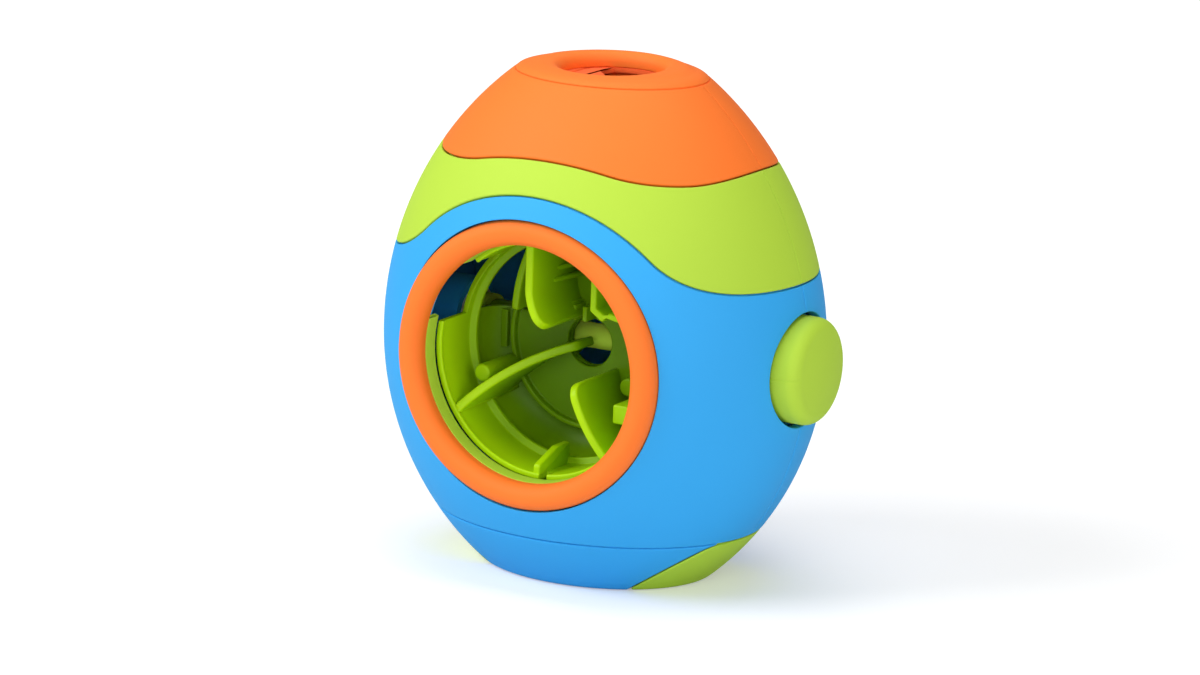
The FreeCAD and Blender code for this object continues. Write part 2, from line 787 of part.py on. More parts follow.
def bowl_outside():
    barrel = BOWL_R
    floor = FLOOR_FRONT_Y + BOWL_WALL
    slope = SLOPE_END_R
    bend = math.sqrt(0.5)
    via = (slope + (barrel - slope) * bend, SLOPE_START_Y + (floor - SLOPE_START_Y) * bend)
    return spun([
        (0.0, BOWL_MOUTH_Y),
        (BOWL_MOUTH_R, BOWL_MOUTH_Y),
        (barrel, BOWL_SHOULDER_Y),
        (barrel, SLOPE_START_Y),
        (via, (slope, floor)),
        (0.0, floor),
    ])


def window_sector(low):
    """Corners of the sector at the upper left, above a level over the axis."""
    slope = math.radians(WINDOW_FROM_DEG)
    return [
        (-FAR, low),
        (low / math.tan(slope), low),
        (FAR * math.cos(slope), FAR * math.sin(slope)),
        (-FAR, FAR),
    ]


def window_void(rear):
    """Two openings through the wall at the upper left, with the band left between them."""
    sector = window_sector(WINDOW_LOW_Z)
    front = BOWL_MOUTH_Y - WALL
    core = cyl_y(WINDOW_INNER_R, front, rear)
    front_part = prism_y(sector, front, BAND_FRONT_Y)
    rear_part = prism_y(sector, BAND_REAR_Y, rear)
    return Part.makeCompound([front_part.cut(core), rear_part.cut(core)])


def divider():
    """Upright rib low in the mouth, with a slot through the lip beside it."""
    outer = -BOWL_R + BOWL_WALL / 2
    rib = drawn(outline([
        (outer, DIVIDER_FRONT_Y),
        (-DIVIDER_TOP_R - BOWL_WALL * 2, DIVIDER_FRONT_Y),
        (-DIVIDER_TOP_R, DIVIDER_SHOULDER_Y),
        (-DIVIDER_TOP_R, TERRACE_Y),
        (outer, TERRACE_Y),
    ]), lambda h, y: (DIVIDER_X - DIVIDER_T / 2, y, AXIS_Z + h))
    return rib.extrude(Vec(DIVIDER_T, 0, 0))


def tumbler_bowl():
    inside = bowl_inside()
    outside = bowl_outside()
    hubs = cyl_x(HUB_R, HUB_START_X, HUB_HALF_LENGTH)
    gusset = box(GUSSET_X - GUSSET_T / 2, GUSSET_X + GUSSET_T / 2, TERRACE_Y, 0,
                 AXIS_Z - GUSSET_HALF_H, AXIS_Z + GUSSET_HALF_H)
    carriers = joined([hubs, gusset]).cut(inside)
    peg = cyl_y(PEG_R, PEG_FRONT_Y, FLOOR_FRONT_Y + BOWL_WALL, PEG_X, AXIS_Z + PEG_Z).common(outside)
    solid = joined([outside.cut(inside), carriers, mirrored_x(carriers), divider(), peg])
    slot_x = DIVIDER_X + DIVIDER_T / 2
    slot = box(slot_x, slot_x + SLOT_T, BOWL_MOUTH_Y - WALL, SLOT_REAR_Y, AXIS_Z - BOWL_R, AXIS_Z)
    solid = solid.cut(window_void(0.0)).cut(slot)
    solid = solid.cut(cyl_y(FLOOR_HOLE_R, FLOOR_FRONT_Y - WALL, FLOOR_FRONT_Y + 2 * WALL))
    bore = cyl_x(SHAFT_R + SHAFT_FIT, -HUB_HALF_LENGTH, HUB_HALF_LENGTH)
    solid = solid.cut(bore).cut(pin_hole(HUB_PIN_X)).cut(pin_hole(-HUB_PIN_X))
    return solid.cut(insert_screw_holes())


def insert_screw_holes():
    rear = FLOOR_FRONT_Y + BOWL_WALL
    front = FLOOR_FRONT_Y - INSERT_BOSS_H + FIT
    places = INSERT_SCREWS
    return Part.makeCompound([cyl_y(SCREW_HOLE_R, front, rear, x, AXIS_Z + h) for x, h in places])


def insert_screws():
    rear = FLOOR_FRONT_Y + BOWL_WALL
    front = FLOOR_FRONT_Y - INSERT_BOSS_H + 2 * FIT
    parts = []
    for x, h in INSERT_SCREWS:
        shank = cyl_y(SCREW_R, front, rear, x, AXIS_Z + h)
        head = cyl_y(HEAD_R, rear, rear + HEAD_H, x, AXIS_Z + h)
        parts.append(joined([shank, head]))
    return Part.makeCompound(parts)


def curved_strip(start, via, end, thickness):
    """Outline of a strip of even thickness along an arc through three (x, h) points."""
    circle = Part.Arc(Vec(*start, 0), Vec(*via, 0), Vec(*end, 0)).toShape().Curve
    centre = circle.Center
    sides = []
    for shift in (-thickness / 2, thickness / 2):
        spots = []
        for spot in (start, via, end):
            out = (Vec(*spot, 0) - centre).normalize()
            spots.append((spot[0] + out.x * shift, spot[1] + out.y * shift))
        sides.append(spots)
    near, far = sides
    return [near[0], (near[1], near[2]), far[2], (far[1], far[0])]


def vane(strip, cut_out):
    """Blade standing on the disc: a strip along the depth, trimmed by its side outline."""
    blade = prism_y(strip, BOWL_MOUTH_Y - WALL, FLOOR_FRONT_Y - DISC_T / 2)
    return blade.common(cut_out)


def rounded_corner(a, corner, b, radius):
    """Start, and (via, end), of a round that blends two outline edges at a corner."""
    c = Vec(*corner, 0)
    to_a = (Vec(*a, 0) - c).normalize()
    to_b = (Vec(*b, 0) - c).normalize()
    half = to_a.getAngle(to_b) / 2
    reach = radius / math.tan(half)
    mid = (to_a + to_b).normalize()
    centre = c + mid * (radius / math.sin(half))
    via = centre - mid * radius
    first = c + to_a * reach
    last = c + to_b * reach
    return [(first.x, first.y), ((via.x, via.y), (last.x, last.y))]


def vane_left():
    """Long blade from the rim to the axis, crowned upwards."""
    angle = math.radians(VANE_LEFT_DEG)
    tip = (VANE_LEFT_R * math.cos(angle), VANE_LEFT_R * math.sin(angle))
    root = (VANE_LEFT_ROOT_X, VANE_LEFT_ROOT_H)
    crown = Vec(math.sin(angle), -math.cos(angle), 0) * VANE_LEFT_CROWN
    via = ((tip[0] + root[0]) / 2 + crown.x, (tip[1] + root[1]) / 2 + crown.y)
    strip = curved_strip(root, via, tip, VANE_T)
    profile = [
        (-WALL, VANE_LEFT_ROOT_Y),
        (VANE_LEFT_R, BOWL_MOUTH_Y),
        (BOWL_R, BOWL_MOUTH_Y),
        (BOWL_R, 0.0),
        (-WALL, 0.0),
    ]
    return vane(strip, prism_across(profile, angle, BOWL_R))


def vane_right():
    root = (VANE_RIGHT_ROOT_X, VANE_RIGHT_ROOT_H)
    angle = math.radians(VANE_RIGHT_DEG)
    tip = (BOWL_R * math.cos(angle), BOWL_R * math.sin(angle))
    bow = Vec(-math.sin(angle), math.cos(angle), 0) * -VANE_RIGHT_BOW
    via = ((tip[0] + root[0]) / 2 + bow.x, (tip[1] + root[1]) / 2 + bow.y)
    strip = curved_strip(root, via, tip, VANE_T)
    root_r = math.hypot(*root) - VANE_T / 2
    top = (root_r, VANE_FRONT_Y)
    corner = rounded_corner((root_r, 0.0), top, (BOWL_R, VANE_FRONT_Y), VANE_CORNER_R)
    profile = [(root_r, 0.0)] + corner + [(BOWL_R + WALL, VANE_FRONT_Y), (BOWL_R + WALL, 0.0)]
    return vane(strip, prism_across(profile, angle, BOWL_R))


def vane_top():
    low = (VANE_TOP_LOW_X, VANE_TOP_LOW_H)
    knee = (VANE_TOP_X, VANE_TOP_KNEE_H)
    via = (VANE_TOP_X + VANE_TOP_SWEEP, (VANE_TOP_KNEE_H + VANE_TOP_LOW_H) / 2)
    half = VANE_T / 2
    upper = [(VANE_TOP_X - half, knee[1]), (VANE_TOP_X + half, knee[1]),
             (VANE_TOP_X + half, BOWL_R), (VANE_TOP_X - half, BOWL_R)]
    strips = [curved_strip(low, via, knee, VANE_T), upper]
    upright = math.pi / 2
    top = (low[1], VANE_FRONT_Y)
    corner = rounded_corner((low[1], 0.0), top, (BOWL_R, VANE_FRONT_Y), VANE_CORNER_R)
    profile = [(low[1], 0.0)] + corner + [(BOWL_R + WALL, VANE_FRONT_Y), (BOWL_R + WALL, 0.0)]
    cut_out = prism_across(profile, upright, BOWL_R)
    blades = [vane(strip, cut_out) for strip in strips]
    ribs = []
    face_x = VANE_TOP_X + half
    for height, reach in VANE_TOP_RIBS:
        rib = drawn(outline([
            (face_x - half, reach),
            (face_x, reach),
            (face_x + RIB_H, FLOOR_FRONT_Y - DISC_T - RIB_H),
            (face_x + RIB_H, FLOOR_FRONT_Y - DISC_T / 2),
            (face_x - half, FLOOR_FRONT_Y - DISC_T / 2),
        ]), lambda x, y: (x, y, AXIS_Z + height - RIB_T / 2))
        ribs.append(rib.extrude(Vec(0, 0, RIB_T)))
    return joined(blades + ribs)


def vane_back():
    strip = curved_strip(VANE_BACK_LOW, VANE_BACK_VIA, VANE_BACK_HIGH, VANE_BACK_T)
    return prism_y(strip, VANE_BACK_FRONT_Y, FLOOR_FRONT_Y - DISC_T / 2)


def block():
    """Open-fronted box at the upper right of the maze."""
    x0, x1, h0, h1 = BLOCK_X, BOWL_R, BLOCK_LOW_H, BLOCK_HIGH_H
    bevel_h = h0 + BLOCK_BEVEL_H
    bevel_x = x0 + BLOCK_BEVEL_X
    outer = [(x0, h1), (x0, bevel_h), (bevel_x, h0), (x1, h0), (x1, h1)]
    t = BLOCK_WALL
    inner = [
        (x0 + t, h1 - t),
        (x0 + t, bevel_h + t / 2),
        (bevel_x + t / 2, h0 + t),
        (x1, h0 + t),
        (x1, h1 - t),
    ]
    solid = prism_y(outer, BLOCK_FRONT_Y, FLOOR_FRONT_Y - DISC_T / 2)
    return solid.cut(prism_y(inner, BLOCK_FRONT_Y - WALL, BLOCK_FRONT_Y + BLOCK_DEPTH))


def tab():
    x0, h0 = TAB_X, TAB_H
    square = [(x0, h0), (x0 + TAB_SIZE, h0), (x0 + TAB_SIZE, h0 + TAB_SIZE), (x0, h0 + TAB_SIZE)]
    return prism_y(square, TAB_FRONT_Y, FLOOR_FRONT_Y - DISC_T / 2)


def hub_posts():
    posts = []
    for x in HUB_POSTS_X:
        posts.append(box(x, x + HUB_POST_T, HUB_POST_FRONT_Y, FLOOR_FRONT_Y - DISC_T / 2,
                         AXIS_Z + FLOOR_HOLE_R + FIT, AXIS_Z + FLOOR_HOLE_R + HUB_POST_H))
    return posts


def maze_insert():
    """Disc on the bowl's floor with the blades that slow the food."""
    front = FLOOR_FRONT_Y - DISC_T
    disc = cyl_y(DISC_R, front, FLOOR_FRONT_Y)
    lip = cyl_y(DISC_R, front - DISC_LIP_H, front)
    lip = lip.cut(cyl_y(DISC_R - DISC_LIP_T, front - DISC_LIP_H, front))
    bosses = [cyl_y(INSERT_BOSS_R, FLOOR_FRONT_Y - INSERT_BOSS_H - DISC_T, front, x, AXIS_Z + h)
              for x, h in INSERT_SCREWS]
    blades = [vane_left(), vane_right(), vane_top(), vane_back(), block(), tab()]
    ground = joined([disc, lip]).cut(window_void(0.0))
    ground = ground.cut(cyl_y(FLOOR_HOLE_R, front - WALL, FLOOR_FRONT_Y))
    ground = ground.cut(cyl_y(PEG_R + FIT, PEG_FRONT_Y, FLOOR_FRONT_Y, PEG_X, AXIS_Z + PEG_Z))
    solid = joined([ground] + blades + bosses + hub_posts())
    solid = solid.common(bowl_inside(VANE_WALL_GAP).fuse(disc))
    return solid.cut(insert_screw_holes())


def crown():
    """Oval rise of the disc, level at the lip's crest and sloped to its foot."""
    low = LAND_Z - CROWN_SINK
    rise = drawn(outline([
        (0.0, low),
        (0.0, LIP_CREST_Z),
        (LIP_CREST_R, LIP_CREST_Z),
        (CROWN_HALF_DEPTH, LAND_Z - FIT),
        (CROWN_HALF_DEPTH, low),
    ]), lambda r, z: (r, 0, z))
    rise = rise.revolve(Vec(0, 0, 0), Vec(0, 0, 1), 360)
    stretch = FreeCAD.Matrix()
    stretch.A11 = CROWN_HALF_WIDTH / CROWN_HALF_DEPTH
    return rise.transformGeometry(stretch)


def mouth_void():
    """Round-lipped bore down to the valve."""
    side_z = LIP_CREST_Z - LIP_ROUND
    corner = LIP_ROUND * math.sqrt(0.5)
    via = (FILL_BORE_R + LIP_ROUND - corner, side_z + corner)
    bore = drawn(outline([
        (0.0, VALVE_TOP_Z - WALL),
        (FILL_BORE_R, VALVE_TOP_Z - WALL),
        (FILL_BORE_R, side_z),
        (via, (FILL_BORE_R + LIP_ROUND, LIP_CREST_Z)),
        (FILL_BORE_R + LIP_ROUND, LIP_CREST_Z + WALL),
        (0.0, LIP_CREST_Z + WALL),
    ]), lambda r, z: (r, 0, z))
    return bore.revolve(Vec(0, 0, 0), Vec(0, 0, 1), 360)


def fill_collar():
    """Crowned top disc with the spigot that sits in the cap's hole."""
    groove_top = DISC_SEAT_Z + CREASE_H
    top = OUTER.common(slab(groove_top, LAND_Z + WALL))
    step = egg(JOINT_GAP, WALL, LAND_Z - WALL / 2).common(slab(DISC_SEAT_Z, groove_top + CREASE_H))
    inner = SPIGOT_R - SPIGOT_WALL
    spigot = tube_z(SPIGOT_R, inner, SPIGOT_END_Z, groove_top)
    floor = cyl_z(SPIGOT_R, VALVE_TOP_Z, groove_top)
    hooks = tube_z(SPIGOT_R + HOOK_REACH, inner, HOOK_LOW_Z, HOOK_LOW_Z + HOOK_H)
    hooks = hooks.common(joined([
        box(-FAR, FAR, -HOOK_WIDTH / 2, HOOK_WIDTH / 2, 0, LAND_Z),
        box(-HOOK_WIDTH / 2, HOOK_WIDTH / 2, -FAR, FAR, 0, LAND_Z),
    ]))
    solid = joined([top, step, crown(), floor, spigot, hooks])
    solid = solid.cut(mouth_void())
    return solid.cut(cyl_z(inner, SPIGOT_END_Z - WALL, VALVE_TOP_Z))


def valve_ring():
    outer = SPIGOT_R - SPIGOT_WALL - VALVE_FIT
    low = VALVE_TOP_Z - VALVE_T
    half = PETAL_HINGE_X + PETAL_T / 2 + PETAL_GAP
    mouth = cyl_z(VALVE_BORE_R, low, VALVE_TOP_Z).common(box(-half, half, -FAR, FAR, low, VALVE_TOP_Z))
    return cyl_z(outer, low, VALVE_TOP_Z).cut(mouth)


def petal():
    """Right flap, hinged on a chord of the fill opening."""
    middle = VALVE_TOP_Z - VALVE_T / 2
    low = middle - PETAL_T / 2
    side_y = math.sqrt(PETAL_R ** 2 - PETAL_SIDE_X ** 2)
    nose_y = PETAL_NOSE_Y
    points = [
        (PETAL_HINGE_X, -PETAL_R),
        (PETAL_SIDE_X, -PETAL_R),
        (PETAL_SIDE_X, -side_y + PETAL_T),
        ((PETAL_SIDE_X - PETAL_GAP, -nose_y - PETAL_T), (PETAL_NOSE_X + PETAL_T, -nose_y)),
        ((PETAL_NOSE_X, 0.0), (PETAL_NOSE_X + PETAL_T, nose_y)),
        ((PETAL_SIDE_X - PETAL_GAP, nose_y + PETAL_T), (PETAL_SIDE_X, side_y - PETAL_T)),
        (PETAL_SIDE_X, PETAL_R),
        (PETAL_HINGE_X, PETAL_R),
    ]
    flap = drawn(outline(points), lambda x, y: (x, y, low)).extrude(Vec(0, 0, PETAL_T))
    flap = flap.common(cyl_z(PETAL_R, low, low + PETAL_T))
    root = Part.makeCylinder(PETAL_T / 2, 2 * PETAL_ROOT_Y, Vec(PETAL_HINGE_X, -PETAL_ROOT_Y, middle),
                             Vec(0, 1, 0))
    return joined([flap, root])


def valve_clamp():
    outer = SPIGOT_R - SPIGOT_WALL - VALVE_FIT
    return tube_z(outer, THROAT_R, THROAT_TOP_Z, VALVE_TOP_Z - VALVE_T)


def deck_screw_places():
    ledge = half_width(DECK_Z + DECK_T, WALL + FRAME_T) - LEDGE_WIDTH / 2
    ratio = HALF_DEPTH / HALF_WIDTH
    x = ledge * math.cos(math.radians(DECK_SCREW_DEG))
    y = ledge * ratio * math.sin(math.radians(DECK_SCREW_DEG))
    return [(sx * x, sy * y) for sx in (-1, 1) for sy in (-1, 1)]


def deck_screw_holes():
    return Part.makeCompound([cyl_z(SCREW_HOLE_R, DECK_Z, DECK_Z + DECK_T + LEDGE_T, x, y)
                              for x, y in deck_screw_places()])


def deck_screws():
    parts = []
    for x, y in deck_screw_places():
        shank = cyl_z(SCREW_R, DECK_Z, DECK_Z + DECK_T + LEDGE_T, x, y)
        head = cyl_z(HEAD_R, DECK_Z - HEAD_H, DECK_Z, x, y)
        parts.append(joined([shank, head]))
    return Part.makeCompound(parts)


def hopper():
    """Throat under the flaps and the deck that closes the lid from below."""
    throat = cyl_z(THROAT_R + HOPPER_WALL, DECK_Z, THROAT_TOP_Z)
    deck = egg(WALL + FRAME_T + 2 * FIT, WALL, LAND_Z - 2 * WALL).common(slab(DECK_Z, DECK_Z + DECK_T))
    solid = joined([throat, deck]).cut(cyl_z(THROAT_R, DECK_Z, THROAT_TOP_Z))
    return solid.cut(deck_screw_holes())


def lid_frame():
    """Band behind the joint of cap and collar, with a ledge for the hopper."""
    band = egg(WALL + FIT, WALL, LAND_Z - 2 * WALL).cut(egg(WALL + FRAME_T, WALL, LAND_Z - 2 * WALL))
    band = band.common(above(cap_line(lift=-FRAME_BELOW))).common(slab(0, FRAME_HIGH_Z))
    low = DECK_Z + DECK_T
    ledge = egg(WALL + FRAME_T - FIT, WALL, LAND_Z - 2 * WALL).common(slab(low, low + LEDGE_T))
    half_x = half_width(low, WALL + FRAME_T) - LEDGE_WIDTH
    hole = oval_plate(half_x, half_x * HALF_DEPTH / HALF_WIDTH, low, low + LEDGE_T)
    return joined([band, ledge.cut(hole)]).cut(deck_screw_holes())


def patch_region(shift):
    """Slab through the depth, under the right patch's edge moved outwards by shift."""
    slope = math.radians(PATCH_SLOPE_DEG)
    c, s = math.cos(slope), math.sin(slope)
    radius = PATCH_BLEND_R + shift
    level = SEAM_Z + shift
    floor_x = PATCH_FLOOR_X - shift / s
    centre = (floor_x + (radius + (level - radius) * c) / s, level - radius)
    start = (floor_x - WALL * c / s, -WALL)
    bend = (centre[0] - radius * s, centre[1] + radius * c)
    via = (centre[0] - radius * math.sin(slope / 2), centre[1] + radius * math.cos(slope / 2))
    points = [start, bend, (via, (centre[0], level)), (FAR, level), (FAR, -WALL)]
    face = drawn(outline(points), lambda x, z: (x, -FAR, z))
    return face.extrude(Vec(0, 2 * FAR, 0))


def base_lobes():
    half_gap = JOINT_GAP / 2
    lobes = SHELL.common(slab(0, SEAM_Z - half_gap))
    region = patch_region(half_gap)
    lobes = lobes.cut(region).cut(mirrored_x(region))
    lobes = lobes.cut(oval_plate(PAN_OVAL_X, PAN_OVAL_Y, -WALL, WALL + FIT))
    return lobes.cut(base_screw_holes())


def pan_wall_egg():
    return egg(WALL + PAN_WALL, WALL + PAN_WALL, LAND_Z - 2 * WALL)


def base_pan():
    """Tub inside the lobes, with the two side patches that show."""
    hollow = pan_wall_egg()
    tub = egg(WALL + FIT, WALL + FIT, LAND_Z - 2 * WALL).common(slab(0, SEAM_Z + PAN_RISE)).cut(hollow)
    region = patch_region(-JOINT_GAP / 2)
    patches = OUTER.common(joined([region, mirrored_x(region)])).cut(hollow)
    foot = OUTER.common(oval_plate(PAN_OVAL_X - FIT, PAN_OVAL_Y - FIT, -WALL, WALL + PAN_WALL))
    floor = WALL + PAN_WALL / 2
    posts = [cyl_z(POST_R, floor, SEAM_Z + PAN_RISE, x, y) for x, y in base_screw_places()]
    cover_z = WALL + PAN_WALL + WEIGHT_H + FIT
    posts += [cyl_z(COVER_POST_R, floor, cover_z, x, 0) for x in (-COVER_POST_X, COVER_POST_X)]
    inner = WEIGHT_R + WEIGHT_CLEARANCE
    well = tube_z(inner + WEIGHT_WALL, inner, floor, cover_z)
    solid = joined([tub, patches, foot, well] + posts)
    return solid.cut(base_screw_holes()).cut(cover_screw_holes())


def counterweight():
    low = WALL + PAN_WALL
    disc = cyl_z(WEIGHT_R, low, low + WEIGHT_H)
    rims = [e for e in disc.Edges if isinstance(e.Curve, Part.Circle)]
    return disc.makeFillet(WEIGHT_EDGE_R, rims)


def cover_screw_holes():
    top = WALL + PAN_WALL + WEIGHT_H + FIT
    return Part.makeCompound([cyl_z(SCREW_HOLE_R, WALL + PAN_WALL, top + COVER_H, x, 0)
                              for x in (-COVER_POST_X, COVER_POST_X)])


def weight_cover():
    low = WALL + PAN_WALL + WEIGHT_H + FIT
    top = low + COVER_H
    plate = cyl_z(WEIGHT_R + WEIGHT_CLEARANCE + WEIGHT_WALL, low, top)
    bar = box(-COVER_POST_X, COVER_POST_X, -COVER_POST_R, COVER_POST_R, low, top)
    ears = [cyl_z(COVER_POST_R, low, top, x, 0) for x in (-COVER_POST_X, COVER_POST_X)]
    return joined([plate, bar] + ears).cut(cover_screw_holes())


def cover_screws():
    top = WALL + PAN_WALL + WEIGHT_H + FIT + COVER_H
    parts = []
    for x in (-COVER_POST_X, COVER_POST_X):
        shank = cyl_z(SCREW_R, WALL + PAN_WALL + WALL / 2, top, x, 0)
        parts.append(joined([shank, cyl_z(HEAD_R, top, top + HEAD_H, x, 0)]))
    return Part.makeCompound(parts)


os.makedirs("parts", exist_ok=True)
halves(cap(), "cap")
halves(collar(), "collar")
halves(body(), "body")
halves(base_lobes(), "base_lobe")
save("base_pan", base_pan())
save("counterweight", counterweight())
save("weight_cover", weight_cover())
save("cover_screws", cover_screws())
save("base_screws", base_screws())
save("shell_screws", shell_screws())
save("porthole_ring", porthole_ring())
save("ring_liner", ring_liner())
save("ring_screws", ring_screws())
save("bush_right", bush())
save("bush_left", mirrored_x(bush()))
save("knob_right", knob(KNOB_FACE_X))
save("knob_left", mirrored_x(knob(LOW_KNOB_FACE_X)))
save("friction_rings", friction_rings())
save("cross_shaft", cross_shaft())
save("shaft_pins", shaft_pins())
save("tumbler_bowl", tumbler_bowl())
save("maze_insert", maze_insert())
save("insert_screws", insert_screws())
save("fill_collar", fill_collar())
save("valve_ring", valve_ring())
save("petal_right", petal())
save("petal_left", mirrored_x(petal()))
save("valve_clamp", valve_clamp())
save("hopper", hopper())
save("lid_frame", lid_frame())
save("deck_screws", deck_screws())
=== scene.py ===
import json
import math

import bmesh
import bpy
import numpy as np
from mathutils import Matrix, Vector


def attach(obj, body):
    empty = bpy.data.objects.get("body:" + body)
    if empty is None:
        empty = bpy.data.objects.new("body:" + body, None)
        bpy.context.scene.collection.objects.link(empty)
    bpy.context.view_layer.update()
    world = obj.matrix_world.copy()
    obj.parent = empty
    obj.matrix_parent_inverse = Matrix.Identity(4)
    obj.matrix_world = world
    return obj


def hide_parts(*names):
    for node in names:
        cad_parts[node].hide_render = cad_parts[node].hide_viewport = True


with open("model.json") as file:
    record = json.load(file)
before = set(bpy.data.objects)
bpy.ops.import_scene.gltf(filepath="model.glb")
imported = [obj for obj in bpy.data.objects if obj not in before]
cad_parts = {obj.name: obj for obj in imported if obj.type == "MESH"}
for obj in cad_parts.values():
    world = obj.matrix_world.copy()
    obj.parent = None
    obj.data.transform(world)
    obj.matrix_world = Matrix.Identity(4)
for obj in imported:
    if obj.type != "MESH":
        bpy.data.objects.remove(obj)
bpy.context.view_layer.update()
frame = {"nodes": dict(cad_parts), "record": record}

bl_info = {
    "name": "Slow feeder tumbler",
    "version": (1, 0, 0),
    "blender": (4, 5, 0),
    "location": "View3D > Sidebar > Feeder",
    "description": "Builds the shells, knobs, ring, bowl, maze and fill valve of an egg-shaped slow feeder",
    "category": "Object",
}

# Sizes in millimetres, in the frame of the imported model. -Y is the porthole side.
MM = 0.001
AXIS_Z = 72.6
HALF_WIDTH = 72.3
HALF_DEPTH = 58.6
LOWER_ARC = 93.5
UPPER_ARC = 106.5
BASE_ROUND = 4.5
WALL = 2.8
# Joint lines: crest level, crest radius, trough radius, trough's x, radius beyond the trough
LID_WAVE = (125.0, 58.0, 40.0, 66.5, 40.0)
CAP_WAVE = (135.5, 101.6, 98.3, 43.3, 25.3)
WAVE_SIDE_REACH = 12.0
HALF_GAP = 0.25
PARTING = 0.08
TONGUE_DEPTH = 1.6
TONGUE_RISE = 3.6
SEAM_Z = 17.3
PATCH_FLOOR_X = 24.7
PATCH_SLOPE = math.radians(33.5)
PATCH_BLEND = 12.0
PAN_DEPTH = 4.8
PAN_TOP_Z = 20.9
PAN_OVAL = (31.35, 22.85)
DISC_SEAT_Z = 156.0
VALVE_TOP_Z = 155.2
CROWN = (28.2, 23.2)
LIP_CREST_R = 19.2
LIP_CREST_Z = 160.0
LIP_ROUND = 3.2
FILL_BORE_R = 16.0
VALVE_RING_R = 21.2
VALVE_MOUTH_R = 16.2
FLAP_R = 15.6
FLAP_HINGE_X = 13.0
SPIGOT_HOLE_R = 23.3
RING_OUTER_R = 45.2
RING_INNER_R = 37.1
RING_CREST_Y = -50.8
RING_SEAT_Y = -43.6
RING_HOLE_R = 45.5
RING_EDGE = 3.9
LINER_FRONT_Y = -45.2
LINER_REAR_Y = -39.6
LINER_OUTER_R = 38.8
LINER_RIM_R = 40.1
KNOB_R = 16.7
KNOB_FACES = (78.3, 70.4)
POCKET_R = 18.0
POCKET_FLOOR_X = 61.5
SHAFT_R = 4.03
BOWL_R = 38.2
BOWL_BARREL_R = 36.3
BOWL_MOUTH_Y = -38.4
BOWL_FLOOR_Y = -6.9
MAZE_FRONT_Y = -36.0
MAZE_DISC_Y = -8.7
VANE_T = 2.8
# The photo's camera, fitted to the object's outline: focal length and width in pixels, look point in metres
FOCAL_PIXELS = 5128.6
PHOTO_WIDTH = 1200
LOOK_AT_Z = 0.07233
LOOK_ASIDE = -0.00119
SHARP_DEGREES = 32.0
# Screws: shell screws as (x, level), base and cover screws as (x, y)
SHELL_SCREWS = ((54.0, 97.5), (-54.0, 97.5), (46.5, 35.5), (-46.5, 35.5))
BASE_SCREWS = ((-28.5, -12.0), (-28.5, 12.0), (28.5, -12.0), (28.5, 12.0))
COVER_SCREWS = ((-24.0, 0.0), (24.0, 0.0))
RING_SCREWS_R = 42.2
SCREW_HOLE_R = 3.0
# Spots inside the bowl as (x, height above the axis)
MAZE_SCREWS = ((14.5, 17.0), (-12.5, 17.5), (17.0, -11.0))
PEG_SPOT = (-27.2, -10.2)
# Painted shade on the bowl's green along y in metres, darker towards the bowl's floor: none of it at -34 mm,
# all of it at -6 mm
PAINTED_SHADE_RATE = 36.0
PAINTED_SHADE_SHIFT = 1.22
# Upper edge of the bowl's windows, as an angle about the porthole's axis
WINDOW_SLOPE = math.radians(131)


def linear(red, green, blue):
    """Scene-linear colour of a display colour given in 0 to 255."""
    out = []
    for part in (red, green, blue):
        part /= 255
        out.append(part / 12.92 if part <= 0.04045 else ((part + 0.055) / 1.055) ** 2.4)
    return tuple(out)


# Mesh helpers

def make_object(name, verts, faces, body, slot, nodes=()):
    """Mesh object from millimetre points, closed up, faces outward, riding on its body."""
    piece = plain_object(name, verts, faces)
    finish_object(piece, body, slot, nodes)
    return piece


def plain_object(name, verts, faces):
    """Bare mesh object from millimetre points, closed up, faces outward."""
    mesh = bpy.data.meshes.new(name)
    bm = bmesh.new()
    made = [bm.verts.new(Vector(v) * MM) for v in verts]
    for face in faces:
        try:
            bm.faces.new([made[i] for i in face])
        except ValueError:
            pass
    bmesh.ops.remove_doubles(bm, verts=bm.verts, dist=1e-6)
    bmesh.ops.dissolve_degenerate(bm, dist=1e-7, edges=bm.edges)
    bmesh.ops.recalc_face_normals(bm, faces=bm.faces)
    bm.to_mesh(mesh)
    bm.free()
    piece = bpy.data.objects.new(name, mesh)
    bpy.context.scene.collection.objects.link(piece)
    return piece


def finish_object(piece, body, slot, nodes=()):
    """Shading, material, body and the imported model's nodes that a piece stands for."""
    mesh = piece.data
    mesh.shade_smooth()
    mesh.set_sharp_from_angle(angle=math.radians(SHARP_DEGREES))
    mesh.materials.clear()
    mesh.materials.append(bpy.data.materials[slot])
    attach(piece, body)
    if nodes:
        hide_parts(*nodes)


class Stock:
    """Points and faces of one piece, gathered from several closed forms."""

    def __init__(self):
        self.verts = []
        self.faces = []

    def loft(self, rings, around=False, caps=True):
        """Skin over rings of points; around closes the last ring on the first."""
        rings = [np.asarray(r, float) for r in rings]
        count = len(rings[0])
        base = len(self.verts)
        for ring in rings:
            self.verts.extend(ring.tolist())
        spans = len(rings) if around else len(rings) - 1
        for i in range(spans):
            a = base + i * count
            b = base + (i + 1) % len(rings) * count
            for k in range(count):
                n = (k + 1) % count
                self.faces.append((a + k, a + n, b + n, b + k))
        if caps and not around:
            self.faces.append(tuple(base + k for k in reversed(range(count))))
            last = base + (len(rings) - 1) * count
            self.faces.append(tuple(last + k for k in range(count)))
        return self

    def turned(self, outline, place, count=144, start=0.0, sweep=2 * math.pi):
        """Outline of (radius, level) points turned about an axis.
        place maps (radius, angle, level) to a point."""
        whole = abs(sweep - 2 * math.pi) < 1e-9
        steps = count if whole else count + 1
        rings = []
        for i in range(steps):
            angle = start + sweep * i / count
            rings.append([place(r, angle, level) for r, level in outline])
        return self.loft(rings, around=whole)


